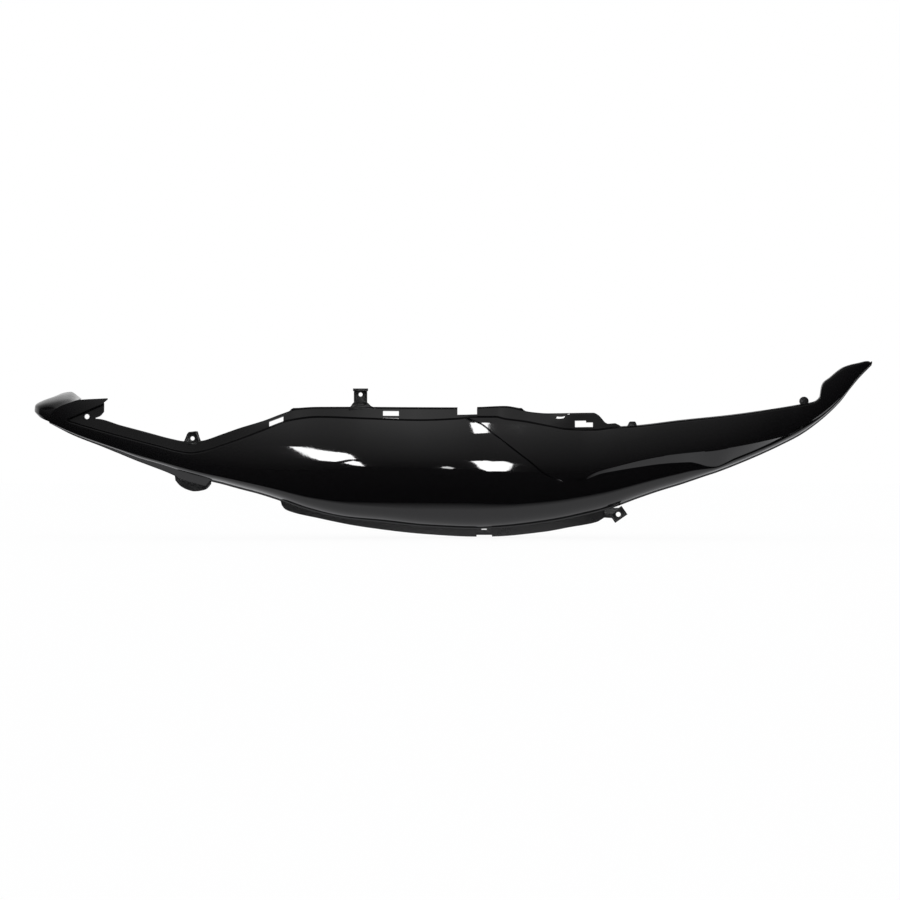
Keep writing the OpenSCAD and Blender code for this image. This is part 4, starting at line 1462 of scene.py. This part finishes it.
@dataclass
class LowerClip:
    """Clip with its own slot behind the notch of the lower flange."""

    form: PanelForm
    finish: bpy.types.Material
    lap: float = 2.5
    set_back: float = 1.6

    def build(self) -> bpy.types.Object:
        """Make the clip.

        Returns:
            The clip's object.
        """
        notch, wall = self.form.sizes.lower_notch, self.form.sizes.wall
        half = notch.length / 2 + self.lap
        top = float(self.form.lines.curl_foot.at(notch.middle))
        foot = float(self.form.lines.lower_flange.at(notch.middle)) + 2
        front = self.form.flange_foot_y(notch.middle)
        slot = box_outline((notch.middle - 3.4, top - 2.1), (notch.middle + 3.0, top - 1.1))
        back = front + self.set_back
        plate = box_outline((notch.middle - half, foot), (notch.middle + half, top + 1))
        adds, cuts = [Prism(plate, back, back + wall)], [Prism(slot, front, front + 6)]
        return carve("lower_clip", adds, cuts, 0.3, self.finish)


@dataclass(frozen=True)
class Gleam:
    """A lamp window, given by the corners of its reflection on the face, as [x, z]."""

    name: str
    corners: tuple[Point, ...]
    strength: float


@dataclass
class Studio:
    """White surroundings, a pale floor, the lamps and the camera."""

    form: PanelForm
    floor_z: float
    aim: tuple[float, float] = (0.1073, -0.0666)
    distance: float = 4.2
    lens: float = 140.0
    sensor: float = 36.0
    clip_end: float = 60.0
    lamp_distance: float = 2200.0
    floor_reach: float = 7.0
    white_share: float = 0.88
    cloth_gap: float = 0.0004
    cloth_back: float = -0.05
    cloth_fade: tuple[float, float] = (-0.092, -0.056)
    gleams: tuple[Gleam, ...] = field(default_factory=lambda: (
        Gleam("gleam_front", (
            (-84, -62.6), (-72, -62.8), (-60, -64.2), (-46, -67), (-30, -69), (-16, -70.6), (-10, -73),
            (-5, -77.6), (-14, -77.8), (-30, -80.6), (-48, -79), (-61, -75), (-73, -69),
        ), 26.0),
        Gleam("gleam_tip", ((-20, -81.8), (-8, -79.4), (-1, -81), (5, -85.8), (-8, -84.6)), 26.0),
        Gleam("gleam_seam", ((131, -34), (153, -34), (153, -46), (136, -47)), 26.0),
        Gleam("gleam_low", (
            (132.5, -80), (152, -79.4), (158, -80.4), (172, -80), (183, -83.4), (178, -90.6), (172, -92),
            (152, -92.4), (142, -88), (139, -84),
        ), 26.0),
        Gleam("gleam_spot", ((96.5, -86.8), (104, -86), (112, -88), (110, -89.6), (98, -88.4)), 14.0),
    ))

    def build(self) -> None:
        """Set the camera, the world, the floor and the lamps."""
        scene = bpy.context.scene
        scene.view_settings.view_transform = "Standard"
        self.camera(scene)
        self.world(scene)
        self.floor()
        self.shade()
        for gleam in self.gleams:
            self.window(gleam)

    def camera(self, scene: bpy.types.Scene) -> None:
        """Put the camera straight in front of the outer face.

        Args:
            scene: Scene that gets the camera.
        """
        data = bpy.data.cameras.new("camera")
        data.lens, data.sensor_width, data.clip_end = self.lens, self.sensor, self.clip_end
        camera = bpy.data.objects.new("camera", data)
        camera.location = (self.aim[0], -self.distance, self.aim[1])
        camera.rotation_euler = (math.radians(90), 0, 0)
        scene.collection.objects.link(camera)
        scene.camera = camera

    def world(self, scene: bpy.types.Scene) -> None:
        """White to the eye and as light, and for reflections a hall that is lit from above.

        Args:
            scene: Scene that gets the world.
        """
        world = bpy.data.worlds.new("studio")
        world.use_nodes = True
        scene.world = world
        nodes = NodeMaker(world.node_tree)
        way = nodes.add("SeparateXYZ", {"Vector": nodes.add("TexCoord").outputs["Generated"]})
        rise = nodes.ramp(way.outputs["Z"], [
            (0.0, grey(0.03)), (0.03, grey(0.05)), (0.09, grey(0.12)), (0.37, grey(0.46)),
            (0.57, grey(0.8)), (0.66, grey(0.95)), (0.7, grey(1.1)), (0.76, grey(0.03)), (1.0, grey(0.02)),
        ])
        aside = nodes.add("Math", {0: way.outputs["X"]}, operation="ABSOLUTE")
        spread = nodes.ramp(aside.outputs["Value"], [
            (0.0, grey(1.0)), (0.08, grey(0.66)), (0.15, grey(0.48)), (0.33, grey(0.36)), (0.5, grey(0.14)),
            (0.95, grey(0.1)),
        ])
        front = nodes.add("Mix", {0: 1.0, 6: rise, 7: spread}, data_type="RGBA", blend_type="MULTIPLY")
        behind = nodes.add("MapRange", {"Value": way.outputs["Y"], "From Min": 0.0, "From Max": 0.25})
        backdrop = nodes.ramp(way.outputs["Z"], [(0.0, grey(0.8)), (0.5, grey(0.8)), (0.95, grey(0.06))])
        sides = {0: behind.outputs["Result"], 6: front.outputs[2], 7: backdrop}
        hall = nodes.add("Mix", sides, data_type="RGBA")
        path = nodes.add("LightPath").outputs
        seen = nodes.add("Background", {"Color": (1, 1, 1, 1), "Strength": 1.0})
        mirrored = nodes.add("Background", {"Color": hall.outputs[2], "Strength": 1.0})
        light = nodes.add("Background", {"Color": (0.99, 0.99, 1.0, 1), "Strength": 1.0})
        glossy = path["Is Glossy Ray"]
        lit = nodes.add("MixShader", {0: glossy, 1: light.outputs[0], 2: mirrored.outputs[0]})
        final = nodes.add("MixShader", {0: path["Is Camera Ray"], 1: lit.outputs[0], 2: seen.outputs[0]})
        nodes.add("OutputWorld", {"Surface": final.outputs[0]})

    def floor(self) -> None:
        """Pale floor just under the panel, which keeps a faint shadow and is even in its gloss."""
        material, nodes = blank_material("pale_floor")
        path = nodes.add("LightPath").outputs
        paint = nodes.add("BsdfDiffuse", {"Color": (0.97, 0.97, 0.97, 1)})
        white = nodes.add("Emission", {"Color": (1, 1, 1, 1), "Strength": 1.0})
        shaded = nodes.add("Emission", {"Color": (0.85, 0.85, 0.87, 1), "Strength": 1.0})
        share = nodes.add("Math", {0: path["Is Camera Ray"], 1: self.white_share}, operation="MULTIPLY")
        seen = nodes.add("MixShader", {0: share.outputs[0], 1: paint.outputs[0], 2: white.outputs[0]})
        both = nodes.add("MixShader", {0: path["Is Glossy Ray"], 1: seen.outputs[0], 2: shaded.outputs[0]})
        nodes.add("OutputMaterial", {"Surface": both.outputs[0]})
        self.sheet("floor", self.floor_reach, self.floor_z, material)

    def shade(self) -> None:
        """Dark cloth on the floor in front, which only the gloss sees."""
        material, nodes = blank_material("dark_cloth")
        place = nodes.add("SeparateXYZ", {"Vector": nodes.add("TexCoord").outputs["Object"]})
        start, end = self.cloth_fade
        fade = nodes.add("MapRange", {"Value": place.outputs["Y"], "From Min": start, "From Max": end})
        cloth = nodes.add("BsdfDiffuse", {"Color": (0.004, 0.004, 0.005, 1)})
        clear = nodes.add("BsdfTransparent")
        edge = nodes.add("MixShader", {0: fade.outputs["Result"], 1: cloth.outputs[0], 2: clear.outputs[0]})
        nodes.add("OutputMaterial", {"Surface": edge.outputs[0]})
        self.only_gloss(self.sheet("front_cloth", self.cloth_back, self.floor_z + self.cloth_gap, material))

    def sheet(self, name: str, back: float, z: float, material: bpy.types.Material) -> bpy.types.Object:
        """Level card at the given height, from the front of the floor to the given y.

        Args:
            name: Name of the card.
            back: Its far end, as y in metres.
            z: Its height, in metres.
            material: Its material.

        Returns:
            The card.
        """
        reach = self.floor_reach
        corners = [(-reach, -reach, z), (reach, -reach, z), (reach, back, z), (-reach, back, z)]
        return self.card(name, corners, material)

    @staticmethod
    def card(name: str, corners: Sequence[Place], material: bpy.types.Material) -> bpy.types.Object:
        """Flat card with the given corners, in metres.

        Args:
            name: Name of the card.
            corners: Its corners, in order.
            material: Its material.

        Returns:
            The card.
        """
        mesh = bpy.data.meshes.new(name)
        mesh.from_pydata(corners, [], [tuple(range(len(corners)))])
        mesh.materials.append(material)
        obj = link(name, mesh)
        return obj

    @staticmethod
    def only_gloss(obj: bpy.types.Object) -> None:
        """Hide a card from everything but mirror reflections."""
        obj.visible_camera = obj.visible_diffuse = obj.visible_shadow = False
        obj.visible_transmission = obj.visible_volume_scatter = False

    def mirrored(self, x: float, z: float) -> Place:
        """Where the lamps' plane is seen in the face at a point, in metres.

        Args:
            x: Place along the panel.
            z: Height on it.

        Returns:
            The point on the lamps' plane.
        """
        depth = self.form.face_y
        point = np.array([x, depth(x, z), z])
        slope_x, slope_z = depth(x + 1, z) - depth(x - 1, z), depth(x, z + 1) - depth(x, z - 1)
        normal = np.array([slope_x / 2, -1, slope_z / 2])
        normal /= np.linalg.norm(normal)
        eye = np.array([self.aim[0], -self.distance, self.aim[1]]) / MM
        view = point - eye
        view /= np.linalg.norm(view)
        way = view - 2 * view.dot(normal) * normal
        reach = (-self.lamp_distance - point[1]) / way[1]
        return tuple((point + way * reach) * MM)

    def outline(self, gleam: Gleam, steps: int = 8) -> list[Place]:
        """Outline of the window that shows as a gleam, with each side followed in small steps.

        Args:
            gleam: Gleam on the face.
            steps: Steps along each side.

        Returns:
            Points on the lamps' plane, in metres.
        """
        ends = zip(gleam.corners, (*gleam.corners[1:], gleam.corners[0]))
        places = [
            (mix(a[0], b[0], k / steps), mix(a[1], b[1], k / steps)) for a, b in ends for k in range(steps)
        ]
        return [self.mirrored(x, z) for x, z in places]

    def window(self, gleam: Gleam) -> None:
        """Bright window that shows on the face as the given gleam.

        Args:
            gleam: Gleam on the face.
        """
        material, nodes = blank_material(gleam.name)
        light = nodes.add("Emission", {"Color": (1, 1, 1, 1), "Strength": gleam.strength})
        nodes.add("OutputMaterial", {"Surface": light.outputs[0]})
        card = self.card(gleam.name, self.outline(gleam), material)
        self.only_gloss(card)


def corners(bounds: Sequence[Sequence[float]]) -> list[list[float]]:
    """Box as plain lists of numbers."""
    return [[float(v) for v in corner] for corner in bounds]


def main() -> None:
    """Build the pieces in order, dress them and report each one."""
    logging.basicConfig(level=logging.INFO, format="%(name)s: %(message)s")
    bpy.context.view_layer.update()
    form = PanelForm(ShellSizes(), Outlines())
    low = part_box(NODE)[0]
    Studio(form, floor_z=low.z - FLOOR_GAP).build()
    finishes = Finishes()
    screw = NoseScrew(form, finishes.moulded)
    pieces = [
        Shell(form, finishes, screw.drill).build(),
        UpperLug(form, finishes.moulded).build(),
        FrontEar(form, finishes.moulded).build(),
        screw.build(),
        LowerTab(form, finishes.moulded).build(),
        TailPeg(form, finishes.moulded).build(),
        RearStop(form, finishes.moulded).build(),
        LowerClip(form, finishes.moulded).build(),
    ]
    for piece in pieces:
        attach(piece, BODY)
        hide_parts(NODE)
        LOG.info("%s: %d faces", piece.name, len(piece.data.polygons))


if __name__ == "__main__":
    main()
